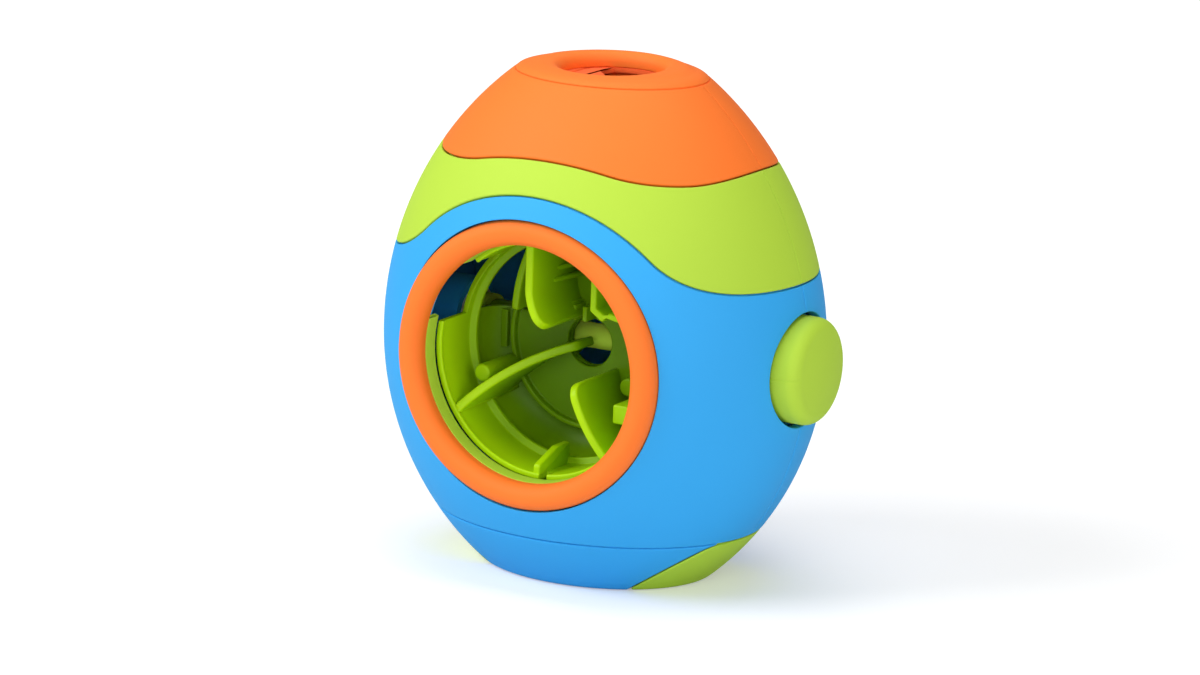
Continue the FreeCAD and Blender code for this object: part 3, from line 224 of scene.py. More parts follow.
def arc_points(centre, radius, start, end, steps):
    """Points on an arc, both ends included."""
    return [(centre[0] + radius * math.cos(start + (end - start) * i / steps),
             centre[1] + radius * math.sin(start + (end - start) * i / steps)) for i in range(steps + 1)]


def rounded(points, steps=6):
    """Closed outline whose corners (u, v, radius) are rounded; (u, v) stays sharp."""
    out = []
    count = len(points)
    for i, point in enumerate(points):
        radius = point[2] if len(point) > 2 else 0.0
        here = np.array(point[:2], float)
        if radius <= 0:
            out.append(tuple(here))
            continue
        before = np.array(points[i - 1][:2], float) - here
        after = np.array(points[(i + 1) % count][:2], float) - here
        before /= np.linalg.norm(before)
        after /= np.linalg.norm(after)
        half = math.acos(max(-1.0, min(1.0, float(before @ after)))) / 2
        reach = radius / math.tan(half)
        middle = before + after
        middle /= np.linalg.norm(middle)
        centre = here + middle * radius / math.sin(half)
        first = here + before * reach - centre
        last = here + after * reach - centre
        a0 = math.atan2(first[1], first[0])
        turn = math.atan2(last[1], last[0]) - a0
        turn = (turn + math.pi) % (2 * math.pi) - math.pi
        for k in range(steps + 1):
            angle = a0 + turn * k / steps
            out.append((centre[0] + radius * math.cos(angle), centre[1] + radius * math.sin(angle)))
    return out


def inset(outline, distance):
    """Outline moved inwards by a distance, corner by corner."""
    points = np.array(outline, float)
    before = points - np.roll(points, 1, axis=0)
    after = np.roll(points, -1, axis=0) - points
    before /= np.linalg.norm(before, axis=1)[:, None] + 1e-12
    after /= np.linalg.norm(after, axis=1)[:, None] + 1e-12
    area = np.sum(points[:, 0] * np.roll(points[:, 1], -1) - np.roll(points[:, 0], -1) * points[:, 1])
    side = 1.0 if area > 0 else -1.0
    n1 = np.stack([-before[:, 1], before[:, 0]], axis=1) * side
    n2 = np.stack([-after[:, 1], after[:, 0]], axis=1) * side
    middle = n1 + n2
    length = np.linalg.norm(middle, axis=1)[:, None]
    middle = middle / np.maximum(length, 1e-9)
    spread = np.maximum(np.sum(middle * n1, axis=1)[:, None], 0.4)
    return points + middle * distance / spread


def round_steps(radius, steps=5):
    """(distance from the edge, depth below the surface) pairs of a quarter round, edge first."""
    pairs = []
    for k in range(steps + 1):
        angle = math.pi / 2 * k / steps
        pairs.append((radius * (1 - math.cos(angle)), radius * (1 - math.sin(angle))))
    return pairs


def slab_form(stock, outline, low, high, place, low_round=0.0, high_round=0.0, steps=4):
    """Plate with an outline, from low to high, with rounded rims; place maps (u, v, level)."""
    rings = []
    if low_round > 0:
        rings += [(inset(outline, s), low + d) for s, d in reversed(round_steps(low_round, steps))]
    else:
        rings.append((np.array(outline, float), low))
    if high_round > 0:
        rings += [(inset(outline, s), high - d) for s, d in round_steps(high_round, steps)]
    else:
        rings.append((np.array(outline, float), high))
    stock.loft([[place(u, v, level) for u, v in ring] for ring, level in rings])


def hole_outline():
    """Circle of a screw's hole."""
    return [(SCREW_HOLE_R * math.cos(a), SCREW_HOLE_R * math.sin(a))
            for a in np.linspace(0, 2 * math.pi, 41)[:-1]]


def upright(x, y, z):
    """Point as it is given."""
    return (x, y, z)


def depthwise(x, h, y):
    """Point from (x, height above the axis, y)."""
    return (x, y, AXIS_Z + h)


def about_porthole(r, angle, y):
    """Point of a form turned about the porthole's axis."""
    return (r * math.cos(angle), y, AXIS_Z + r * math.sin(angle))


def about_spot(x, h):
    """Placing function for a form turned about a line along y at x and a height above the axis."""
    return lambda r, angle, y: (x + r * math.cos(angle), y, AXIS_Z + h + r * math.sin(angle))


def about_upright(r, angle, z):
    """Point of a form turned about the upright axis."""
    return (r * math.cos(angle), r * math.sin(angle), z)


def about_knob(r, angle, x):
    """Point of a form turned about the knobs' axis."""
    return (x, r * math.cos(angle), AXIS_Z + r * math.sin(angle))


# The egg

def skin(z, depth=0.0):
    """Half width, half depth and level of the egg's surface, moved inwards by depth."""
    z = np.asarray(z, float)
    radius = np.where(z < AXIS_Z, LOWER_ARC, UPPER_ARC)
    reach = np.sqrt(radius ** 2 - (z - AXIS_Z) ** 2)
    wide = HALF_WIDTH - radius + reach
    wide = wide - depth * reach / radius
    deep = wide * (HALF_DEPTH - depth) / (HALF_WIDTH - depth)
    return wide, deep, z - depth * (z - AXIS_Z) / radius


def on_skin(angle, z, depth, side):
    """Points of the skin; the angle runs from +X over the front or rear to -X."""
    wide, deep, level = skin(z, depth)
    return np.stack([wide * np.cos(angle), side * deep * np.sin(angle), level + 0 * angle], axis=-1)


def near_parting(z, depth, y):
    """Angle from the parting plane at which the skin is a small y away from it."""
    return np.arcsin(np.clip(y / skin(z, depth)[1], 0, 1))


def wave_level(x, wave, shift=0.0):
    """Level of a wavy joint line at x, moved by shift along its normal."""
    crest_z, crest_r, trough_r, trough_x, side_r = wave
    x = np.abs(np.asarray(x, float))
    span = crest_r + trough_r
    crest = crest_z - crest_r
    trough = crest + math.sqrt(span ** 2 - trough_x ** 2)
    bend = trough_x * (crest_r + shift) / span
    low_r = trough_r - shift
    top = crest + np.sqrt(np.maximum((crest_r + shift) ** 2 - x ** 2, 0))
    low = trough - np.sqrt(np.maximum(low_r ** 2 - (x - trough_x) ** 2, 0))
    rise_r = side_r - shift
    out = np.clip(x - trough_x, 0, WAVE_SIDE_REACH)
    side = trough - low_r + rise_r - np.sqrt(rise_r ** 2 - out ** 2)
    return np.where(x < bend, top, np.where(x < trough_x, low, side))


def joint_level(angle, wave, shift):
    """Levels where a joint line crosses the skin, for an array of angles."""
    turn = np.cos(np.asarray(angle, float))
    z = np.full_like(turn, wave[0] - 20.0)
    for _ in range(60):
        z = 0.5 * z + 0.5 * wave_level(skin(z)[0] * turn, wave, shift)
    return z


PARTING_ROUND = 0.22
BAND_ANGLES = np.linspace(0.05, math.pi - 0.05, 120)


def half_band(stock, side, low, high, rows, extra=None):
    """Half shell between two level functions, as a loft of closed columns.
    rows are (share, offset, depth): level = low + share * (high - low) + offset."""
    near = [(PARTING + s, d) for s, d in round_steps(PARTING_ROUND)] + [(0.75, 0.0)]
    share, offset, depth = (np.array(column, float) for column in zip(*rows))
    outer = depth < 0.6
    columns = []

    def column(angle0, y, sink, mirrored):
        z0, z1 = float(low(angle0)), float(high(angle0))
        z = z0 + share * (z1 - z0) + offset
        d = depth + np.where(outer, sink, 0.0)
        angle = np.full(len(z), angle0) if y is None else near_parting(z, d, np.where(outer, y, 0.0))
        if mirrored:
            angle = math.pi - angle
        points = on_skin(angle, z, d, side)
        return points if extra is None else extra(points, side)

    for y, sink in near:
        columns.append(column(y / HALF_DEPTH, y, sink, False))
    for angle in BAND_ANGLES:
        columns.append(column(angle, None, 0.0, False))
    for y, sink in reversed(near):
        columns.append(column(y / HALF_DEPTH, y, sink, True))
    stock.loft(columns)


def shell_rows(edge, high_inner, low_inner, count=34, inner_count=10):
    """Rows of a closed wall: outer face from low to high with rounded edges, then back inside."""
    pairs = round_steps(edge)
    out = [(0.0, s, d) for s, d in pairs]
    out += [(i / count, edge * (1 - 2 * i / count), 0.0) for i in range(1, count)]
    out += [(1.0, -s, d) for s, d in reversed(pairs)]
    out += high_inner
    out += [(1 - i / inner_count, 0.0, WALL) for i in range(1, inner_count)]
    out += low_inner
    return out


# Materials

class Wire:
    """A shader value that can be used in an expression."""

    def __init__(self, finish, socket):
        self.finish = finish
        self.socket = socket

    def __add__(self, other):
        return self.finish.sum("ADD", self, other)

    __radd__ = __add__

    def __sub__(self, other):
        return self.finish.sum("SUBTRACT", self, other)

    def __rsub__(self, other):
        return self.finish.sum("SUBTRACT", other, self)

    def __mul__(self, other):
        return self.finish.sum("MULTIPLY", self, other)

    __rmul__ = __mul__

    def __truediv__(self, other):
        return self.finish.sum("DIVIDE", self, other)

    def clamped(self):
        """The value held between 0 and 1."""
        return self.finish.wire("ShaderNodeClamp", {}, {"Value": self}, "Result")


class Finish:
    """One material's node tree."""

    def __init__(self, name):
        self.material = bpy.data.materials.new(name)
        self.material.use_nodes = True
        self.tree = self.material.node_tree
        self.tree.nodes.clear()
        self.end = self.tree.nodes.new("ShaderNodeOutputMaterial")

    def node(self, kind, settings, values):
        """Node of a kind, with its settings made first and its sockets filled next."""
        node = self.tree.nodes.new(kind)
        for key, value in settings.items():
            if key == "stops":
                ramp = node.color_ramp
                while len(ramp.elements) < len(value):
                    ramp.elements.new(0.5)
                for element, (position, colour) in zip(ramp.elements, value):
                    element.position = position
                    element.color = (*colour, 1)
            else:
                setattr(node, key, value)
        for key, value in values.items():
            socket = node.inputs[key]
            if isinstance(value, Wire):
                self.tree.links.new(value.socket, socket)
            elif isinstance(value, tuple) and socket.type == "RGBA":
                socket.default_value = (*value[:3], 1)
            else:
                socket.default_value = value
        return node

    def wire(self, kind, settings, values, output=0):
        """One output of a new node."""
        return Wire(self, self.node(kind, settings, values).outputs[output])

    def sum(self, operation, a, b):
        return self.wire("ShaderNodeMath", {"operation": operation}, {0: a, 1: b})

    def blend(self, share, a, b):
        """Colour between a and b."""
        node = self.node("ShaderNodeMix", {"data_type": "RGBA"}, {0: share, 6: a, 7: b})
        return Wire(self, node.outputs[2])

    def place(self):
        """Object coordinates."""
        return self.wire("ShaderNodeTexCoord", {}, {}, "Object")

    def noise(self, place, scale, detail=2.0, rough=0.5):
        """Noise value, about 0.5 on the whole."""
        return self.wire("ShaderNodeTexNoise", {}, {"Vector": place, "Scale": scale, "Detail": detail,
                                                     "Roughness": rough}, 0)

    def shader(self, values):
        """Principled shader joined to the surface."""
        node = self.node("ShaderNodeBsdfPrincipled", {}, values)
        self.tree.links.new(node.outputs[0], self.end.inputs["Surface"])
        return node

    def bump(self, height, distance, strength=1.0):
        """Normal raised by a height."""
        return self.wire("ShaderNodeBump", {}, {"Height": height, "Distance": distance, "Strength": strength},
                         "Normal")


def toned(colour, factor):
    """Colour made darker or lighter by a factor."""
    return tuple(min(1.0, part * factor) for part in colour)


def plastic(name, colour, rough, grain_scale=2400.0, grain_depth=0.000004, tone=0.05, gloss=0.3, deep=None):
    """Moulded plastic: fine spark-eroded grain, faint flow clouding, slight sheen changes.
    deep is a painted shade colour that the base colour blends into towards the bowl's floor, standing in for
    the shade far inside the porthole, where little light comes in."""
    f = Finish(name)
    place = f.place()
    cloud = f.noise(place, 26.0, 3.0, 0.55)
    grain = f.noise(place, grain_scale, 2.0, 0.6)
    smear = f.noise(place, 240.0, 4.0, 0.6)
    shade = f.blend((cloud * 1.6 - 0.3).clamped(), toned(colour, 1 - tone), toned(colour, 1 + tone * 0.6))
    if deep is not None:
        # Painted shade: the colour goes over to deep towards the bowl's floor
        level = f.wire("ShaderNodeSeparateXYZ", {}, {0: place}, 1)
        shade = f.blend((level * PAINTED_SHADE_RATE + PAINTED_SHADE_SHIFT).clamped(), shade, deep)
    height = grain + smear * 0.8
    f.shader({
        "Base Color": shade,
        "Roughness": rough + (smear - 0.5) * 0.12 + (grain - 0.5) * 0.08,
        "Specular IOR Level": gloss,
        "Normal": f.bump(height, grain_depth),
    })
    return f.material


def steel(name):
    """Zinc-plated steel with turning marks."""
    f = Finish(name)
    place = f.place()
    smear = f.noise(place, 500.0, 5.0, 0.6)
    fine = f.noise(place, 4000.0, 2.0, 0.6)
    f.shader({
        "Base Color": f.blend(smear, (0.52, 0.52, 0.53), (0.68, 0.68, 0.67)),
        "Metallic": 1.0,
        "Roughness": 0.3 + smear * 0.18,
        "Normal": f.bump(fine + smear, 0.000004),
    })
    return f.material


def rubber(name, colour):
    """Soft rubber: matt, with a fine grain."""
    f = Finish(name)
    place = f.place()
    smear = f.noise(place, 300.0, 4.0, 0.6)
    fine = f.noise(place, 3000.0, 2.0, 0.6)
    f.shader({
        "Base Color": f.blend(smear, toned(colour, 0.8), toned(colour, 1.2)),
        "Roughness": 0.62 + (smear - 0.5) * 0.2,
        "Specular IOR Level": 0.35,
        "Normal": f.bump(fine + smear, 0.000006),
    })
    return f.material


# Settings

class FeederSettings(bpy.types.PropertyGroup):
    orange: bpy.props.FloatVectorProperty(
        name="Orange", description="Colour of the cap, fill collar and porthole ring",
        subtype="COLOR", size=3, min=0, max=1, default=linear(255, 124, 8))
    green: bpy.props.FloatVectorProperty(
        name="Green", description="Colour of the collar, knobs, bowl, maze and base patches",
        subtype="COLOR", size=3, min=0, max=1, default=linear(196, 230, 30))
    blue: bpy.props.FloatVectorProperty(
        name="Blue", description="Colour of the body and base lobes",
        subtype="COLOR", size=3, min=0, max=1, default=linear(0, 184, 230))
    sheen: bpy.props.FloatProperty(
        name="Roughness", description="Roughness of the moulded plastic", subtype="FACTOR",
        min=0.05, max=1, default=0.38)
    edge: bpy.props.FloatProperty(
        name="Shell edge round", description="Radius on the shells' joint edges, in millimetres",
        min=0.1, max=1.0, default=0.42)
    camera_turn: bpy.props.FloatProperty(
        name="Camera azimuth", description="Turn of the camera from the porthole side towards +X",
        subtype="ANGLE", unit="ROTATION", default=math.radians(29.86))
    camera_rise: bpy.props.FloatProperty(
        name="Camera elevation", description="Height angle of the camera above the floor",
        subtype="ANGLE", unit="ROTATION", default=math.radians(13.41))
    camera_roll: bpy.props.FloatProperty(
        name="Camera roll", description="Turn of the camera about its line of sight",
        subtype="ANGLE", unit="ROTATION", default=math.radians(1.85))
    camera_away: bpy.props.FloatProperty(
        name="Camera distance", description="Distance from the object's middle", subtype="DISTANCE",
        unit="LENGTH", default=1.6)


def settings():
    """The sizes and colours that a user can change."""
    return bpy.context.scene.feeder


class FEEDER_OT_finishes(bpy.types.Operator):
    """Make the plastics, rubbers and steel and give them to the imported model's nodes"""
    bl_idname = "feeder.finishes"
    bl_label = "Finishes"

    def execute(self, context):
        s = settings()
        plastic("orange_plastic", tuple(s.orange), s.sheen)
        plastic("green_plastic", tuple(s.green), s.sheen)
        plastic("blue_plastic", tuple(s.blue), s.sheen)
        # Painted shade: the bowl and maze take a darker, more saturated copy of the green, plus a painted
        # shade colour deep inside, standing in for the shade and green bounce light inside the porthole
        red, green, blue = s.green
        inner = (red * 0.8, green * 0.94, blue * 0.2)
        plastic("bowl_green_painted_shade", inner, s.sheen, gloss=0.16, deep=(red * 0.18, green * 0.28, blue * 0.03))
        # Painted shade: the flaps' orange is made a little darker than the shells', standing in for the shade
        # in the fill opening's recess
        plastic("valve_rubber", toned(tuple(s.orange), 0.97), s.sheen + 0.1, 1500.0, 0.000006)
        plastic("bush_plastic", linear(228, 226, 216), 0.35)
        steel("steel")
        rubber("black_rubber", linear(28, 28, 30))
        slots = {part["node"]: part["material_slot"] for part in frame["record"]["subparts"]}
        for name, node in frame["nodes"].items():
            slot = slots.get(name)
            if slot is None or slot not in bpy.data.materials:
                raise RuntimeError("no finish for " + name)
            node.data.materials.clear()
            node.data.materials.append(bpy.data.materials[slot])
        return {"FINISHED"}


class FEEDER_OT_cap(bpy.types.Operator):
    """Build the orange cap's two half shells"""
    bl_idname = "feeder.cap"
    bl_label = "Cap"

    def execute(self, context):
        top = DISC_SEAT_Z + 0.35
        low = lambda a: joint_level(a, CAP_WAVE, HALF_GAP)
        high = lambda a: top + 0 * np.asarray(a)
        rows = shell_rows(settings().edge, [(1.0, -0.8, WALL)], [(0.0, 0.0, WALL), (0.0, 0.0, 1.5)])
        last = max(i for i, row in enumerate(rows) if row[2] < WALL / 2 and row[0] == 1.0)

        def rim(points, side):
            """Adds the flat seat round the fill collar's hole between the outer and inner rows."""
            edge, under = points[last], points[last + 1]
            turn = math.atan2(side * edge[1] / HALF_DEPTH, edge[0] / HALF_WIDTH)
            hole = np.array([SPIGOT_HOLE_R * math.cos(turn), side * SPIGOT_HOLE_R * math.sin(turn), top])
            low_hole = hole - (0, 0, top - DISC_SEAT_Z + WALL)
            seat = [(edge + hole) / 2, hole, low_hole, (low_hole + under) / 2]
            seat[0][2] = top
            return np.vstack([points[:last + 1], seat, points[last + 1:]])

        for side, name in ((-1, "cap_front"), (1, "cap_rear")):
            stock = Stock()
            half_band(stock, side, low, high, rows, rim)
            make_object(name + "_shell", stock.verts, stock.faces, "lid", "orange_plastic", [name])
        return {"FINISHED"}


class FEEDER_OT_collar(bpy.types.Operator):
    """Build the green collar's two half shells"""
    bl_idname = "feeder.collar"
    bl_label = "Collar"

    def execute(self, context):
        low = lambda a: joint_level(a, LID_WAVE, HALF_GAP)
        high = lambda a: joint_level(a, CAP_WAVE, -HALF_GAP)
        rebate = TONGUE_DEPTH - 0.25
        above = TONGUE_RISE + 0.5
        rows = shell_rows(settings().edge, [(1.0, 0.0, 1.5), (1.0, 0.0, WALL)],
                          [(0.0, above, WALL), (0.0, above, rebate), (0.0, 0.0, rebate)])
        for side, name in ((-1, "collar_front"), (1, "collar_rear")):
            stock = Stock()
            half_band(stock, side, low, high, rows)
            make_object(name + "_shell", stock.verts, stock.faces, "lid", "green_plastic", [name])
        return {"FINISHED"}


def boundary(side, s, d, inner=None):
    """Closed line round the half body: notch, parting line, lid line and seam, moved in by s and down by d.
    inner picks one of the four rings of the wall's inward side."""
    points = []
    gap = PARTING + s
    pocket = POCKET_R + s
    lid = lambda a: joint_level(a, LID_WAVE, -HALF_GAP) - s
    seam = SEAM_Z + HALF_GAP + s
    depth = d if inner is None else (TONGUE_DEPTH, TONGUE_DEPTH, WALL, WALL)[inner]
    y_gap = gap if inner is None else 0.0

    def notch(start, end, mirrored):
        for alpha in np.linspace(start, end, 41)[:-1]:
            r = pocket if inner is None else (POCKET_R, POCKET_R, POCKET_R + 1.0, POCKET_R + 2.2)[inner]
            y, h = r * math.cos(alpha), r * math.sin(alpha)
            wide, deep, _ = skin(AXIS_Z + h)
            x = wide * math.sqrt(1 - (y / deep) ** 2)
            x -= d if inner is None else (1.2, 3.4, 3.4, 3.1)[inner]
            points.append((-x if mirrored else x, side * y, AXIS_Z + h))

    def parting(z0, z1, count, mirrored):
        z = np.linspace(z0, z1, count + 1)[:-1]
        angle = near_parting(z, depth, y_gap)
        points.extend(on_skin(math.pi - angle if mirrored else angle, z, depth, side).tolist())

    half = math.acos(gap / pocket)
    reach = pocket * math.sin(half)
    corner = float(near_parting(90.0, 0.0, gap))
    lid_end = float(lid(np.array(corner)))
    low = float(near_parting(seam, 0.0, gap))
    notch(-half, half, False)
    parting(AXIS_Z + reach, lid_end, 14, False)
    angles = np.linspace(corner, math.pi - corner, 141)[:-1]
    levels = lid(angles) + (TONGUE_RISE if inner in (1, 2) else 0.0)
    points.extend(on_skin(angles, levels, depth, side).tolist())
    parting(lid_end, AXIS_Z + reach, 14, True)
    notch(half, -half, True)
    parting(AXIS_Z - reach, seam, 30, True)
    angles = np.linspace(math.pi - low, low, 121)[:-1]
    points.extend(on_skin(angles, seam + 0 * angles, depth, side).tolist())
    parting(seam, AXIS_Z - reach, 30, False)
    return np.array(points)


BOUNDARY_SPANS = (40, 14, 140, 14, 40, 30, 120, 30)
BOUNDARY_TURNS = (-28, 27, 29, 151, 153, 208, 232, 308, 332)


def hole_turns():
    """Angle round the porthole that each point of the boundary is paired with.
    Under the lid line it follows rays from the porthole's axis, so that no path crosses the line."""
    turns = []
    for count, start, end in zip(BOUNDARY_SPANS, BOUNDARY_TURNS, BOUNDARY_TURNS[1:]):
        turns.extend(np.linspace(start, end, count + 1)[:-1])
    turns = np.radians(np.array(turns))

    def ray(sheet):
        return np.arctan2(sheet[:, 1] - AXIS_Z, (math.pi / 2 - np.abs(sheet[:, 0])) * HALF_WIDTH)

    rim = np.linspace(0, math.pi, 361)
    x, z = RING_HOLE_R * np.cos(rim), AXIS_Z + RING_HOLE_R * np.sin(rim)
    wide, deep, _ = skin(z)
    rays = ray(to_sheet(np.stack([x, -deep * np.sqrt(1 - (x / wide) ** 2), z], axis=1), -1))
    first = sum(BOUNDARY_SPANS[:2])
    aims = np.interp(ray(to_sheet(boundary(-1, settings().edge, 0.0), -1)), rays, rim)
    for i in range(first, first + BOUNDARY_SPANS[2]):
        share = (i - first) / BOUNDARY_SPANS[2]
        aim = float(aims[i])
        low = math.radians(29 + 16 * min(share, 1 - share))
        turns[i] = max(aim, low) if share < 0.5 else min(aim, math.pi - low)
    return turns


def to_sheet(points, side):
    """(angle, level) of points on the skin."""
    wide, deep, _ = skin(points[:, 2], 0.0)
    return np.stack([np.arctan2(side * points[:, 1] / deep, points[:, 0] / wide), points[:, 2]], axis=1)


class FEEDER_OT_body(bpy.types.Operator):
    """Build the blue body's two half shells with their pockets and the porthole"""
    bl_idname = "feeder.body"
    bl_label = "Body"

    def execute(self, context):
        edge = settings().edge
        turns = hole_turns()
        for side, name in ((-1, "body_front"), (1, "body_rear")):
            front = side < 0
            rings = []

            def circle(radius, sink):
                x = radius * np.cos(turns)
                z = AXIS_Z + radius * np.sin(turns)
                wide, deep, _ = skin(z)
                y = side * deep * np.sqrt(1 - (x / wide) ** 2)
                return np.stack([x, y - side * sink, z], axis=1)

            hole = RING_HOLE_R if front else 0.6
            if front:
                rings.append(np.stack([hole * np.cos(turns), 0 * turns + RING_SEAT_Y + 0.5,
                                       AXIS_Z + hole * np.sin(turns)], axis=1))
                rings += [circle(hole + s, d) for s, d in round_steps(0.3)]
                rings.append(circle(hole + 0.8, 0.0))
            else:
                rings.append(circle(hole, 0.0))
            start = to_sheet(rings[-1], side)
            end = to_sheet(boundary(side, edge, 0.0), side)
            steps = 34 if front else 56
            for i in range(1, steps + 1):
                f = i / steps
                mid = start + (end - start) * f
                if i == steps:
                    rings.append(boundary(side, edge, 0.0))
                else:
                    rings.append(on_skin(mid[:, 0], mid[:, 1], 0.0, side))
            for s, d in reversed(round_steps(edge)[:-1]):
                rings.append(boundary(side, s, d))
            for step in range(4):
                rings.append(boundary(side, 0.0, 0.0, inner=step))
            inner_start = to_sheet(circle(hole + (2.4 if front else 0.0), 0.0), side)
            inner_end = to_sheet(boundary(side, 2.4, 0.0), side)
            for i in range(1, 14):
                f = i / 13
                mid = inner_end + (inner_start - inner_end) * f
                rings.append(on_skin(mid[:, 0], mid[:, 1], WALL, side))
            if front:
                rings.append(np.stack([(hole + 2.4) * np.cos(turns), 0 * turns + RING_SEAT_Y + 0.5,
                                       AXIS_Z + (hole + 2.4) * np.sin(turns)], axis=1))
            stock = Stock()
            stock.loft(rings, around=front)
            if front:
                near, far = RING_INNER_R + 1.85, RING_HOLE_R + 2.2
                flange = [(near, RING_SEAT_Y), (far, RING_SEAT_Y), (far, RING_SEAT_Y + 2.4),
                          (near, RING_SEAT_Y + 2.4)]
                stock.turned(flange, about_porthole, 120)
            if not front:
                holes = Stock()
                for x, z in SHELL_SCREWS:
                    holes.loft([[(x + u, y, z + v) for u, v in hole_outline()] for y in (18.0, 70.0)])
                stock = carved(stock, holes)
            for mirror in (1, -1):
                cup = [(POCKET_R + 0.03, 64.6), (POCKET_R + 0.03, POCKET_FLOOR_X), (10.3, POCKET_FLOOR_X),
                       (10.3, 46.6), (12.65, 46.6), (12.65, 58.3), (20.2, 58.3), (20.2, 64.0)]
                place = lambda r, a, x, m=mirror: (m * x, r * math.cos(a), AXIS_Z + r * math.sin(a))
                begin = math.pi / 2 if front else -math.pi / 2
                stock.turned(cup, place, 48, begin, math.pi)
            make_object(name + "_shell", stock.verts, stock.faces, "housing", "blue_plastic", [name])
        return {"FINISHED"}


def carved(form, cutter, bevel=0.0, crossing=False):
    """Stock of one form with another cut out of it and the new edges softened."""
    piece = plain_object("form", form.verts, form.faces)
    tool = plain_object("cutter", cutter.verts, cutter.faces)
    cut = piece.modifiers.new("cut", "BOOLEAN")
    cut.operation = "DIFFERENCE"
    cut.solver = "EXACT"
    cut.use_self = crossing
    cut.object = tool
    if bevel > 0:
        soft = piece.modifiers.new("edges", "BEVEL")
        soft.width = bevel * MM
        soft.segments = 2
        soft.limit_method = "ANGLE"
        soft.angle_limit = math.radians(55)
        soft.use_clamp_overlap = False
    apply_modifiers(piece)
    out = Stock()
    out.verts = [tuple(v.co / MM) for v in piece.data.vertices]
    out.faces = [tuple(polygon.vertices) for polygon in piece.data.polygons]
    for done in (piece, tool):
        mesh = done.data
        bpy.data.objects.remove(done)
        bpy.data.meshes.remove(mesh)
    if not out.faces:
        raise RuntimeError("nothing left after a cut")
    return out


def apply_modifiers(piece):
    """Turn a piece with modifiers into a plain mesh."""
    bpy.context.view_layer.update()
    graph = bpy.context.evaluated_depsgraph_get()
    mesh = bpy.data.meshes.new_from_object(piece.evaluated_get(graph))
    old = piece.data
    piece.modifiers.clear()
    piece.data = mesh
    bpy.data.meshes.remove(old)


def patch_x(z, shift):
    """Where the right patch's edge, moved outwards by shift, stands at a level."""
    c, sn = math.cos(PATCH_SLOPE), math.sin(PATCH_SLOPE)
    radius = PATCH_BLEND + shift
    level = SEAM_Z + shift
    start = PATCH_FLOOR_X - shift / sn
    centre_x = start + (radius + (level - radius) * c) / sn
    centre_z = level - radius
    arc = centre_x - math.sqrt(max(radius ** 2 - (z - centre_z) ** 2, 0))
    return start + z * c / sn if z < centre_z + radius * c else arc


FOOT_ARC_X = HALF_WIDTH - LOWER_ARC
FOOT_X = FOOT_ARC_X + math.sqrt((LOWER_ARC - BASE_ROUND) ** 2 - (AXIS_Z - BASE_ROUND) ** 2)
FOOT_TURN = math.atan2(BASE_ROUND - AXIS_Z, FOOT_X - FOOT_ARC_X)
FOOT_TOP = AXIS_Z + LOWER_ARC * math.sin(FOOT_TURN)


def foot_rows(top, edge, floor_count):
    """Rows from a level down to the floor's inner line: (kind, value, depth)."""
    rows = [("wall", top - a, d) for a, d in round_steps(edge)]
    rows += [("wall", z, 0.0) for z in np.linspace(top - edge, FOOT_TOP, 26)[1:]]
    rows += [("round", turn, 0.0) for turn in np.linspace(FOOT_TURN, -math.pi / 2, 10)[1:]]
    rows += [("floor", f, 0.0) for f in np.linspace(0, 1, floor_count + 1)[1:]]
    return rows


def foot_spot(kind, value, depth, end):
    """Half width, half depth and level of one row, for a column whose floor part ends at a half width."""
    if kind == "wall":
        wide, deep, level = skin(value, depth)
        return float(wide), float(deep), max(float(level), depth)
    reach = BASE_ROUND - min(depth, BASE_ROUND - 0.2)
    if kind == "round":
        wide = FOOT_X + reach * math.cos(value)
        level = max(BASE_ROUND + reach * math.sin(value), depth)
    else:
        wide = FOOT_X + (end - FOOT_X) * value
        level = depth
    return wide, wide * (HALF_DEPTH - depth) / (HALF_WIDTH - depth), level


def foot_level(kind, value):
    """Level at which a foot row meets the patch's edge line."""
    if kind == "wall":
        return value
    return BASE_ROUND * (1 + math.sin(value)) if kind == "round" else 0.0


def lobe_form(stock, side, edge):
    """Blue lobe: from the seam down between the two patches and under to the pan's oval."""
    top = SEAM_Z - HALF_GAP
    rows = foot_rows(top, edge, 8)
    under = [("wall", top, 2.55)] + [r for r in rows[6::4] if r[0] == "wall"]
    under += [("round", -1.1, 0), ("floor", 1.0, 0)]
    under = [(kind, value, 2.55) for kind, value, _ in under]
    squeeze = HALF_DEPTH / HALF_WIDTH
    oval_x, oval_y = PAN_OVAL[0] + 0.15, PAN_OVAL[1] + 0.15
    edges = round_steps(edge)
    columns = [(0.0, a, d) for a, d in edges] + [(f, edge, 0.0) for f in np.linspace(0, 1, 91)[1:-1]]
    columns += [(1.0, a, d) for a, d in reversed(edges)]

    def point(kind, value, depth, share, aside):
        line_x = patch_x(foot_level(kind, value), HALF_GAP) - aside
        end = oval_x
        angle = 0.6
        for _ in range(12 if kind == "floor" else 1):
            wide, deep, level = foot_spot(kind, value, depth, end)
            limit = math.acos(max(-1.0, min(1.0, line_x / foot_spot(kind, value, 0.0, end)[0])))
            angle = limit + (math.pi - 2 * limit) * share
            end = 1 / math.hypot(math.cos(angle) / oval_x, squeeze * math.sin(angle) / oval_y)
        return (wide * math.cos(angle), side * deep * math.sin(angle), level)

    loops = []
    for share, aside, sink in columns:
        loop = [point(kind, value, max(depth, sink), share, aside) for kind, value, depth in rows]
        loop += [point(kind, value, depth, share, 0.0) for kind, value, depth in reversed(under)]
        loops.append(loop)
    stock.loft(loops)


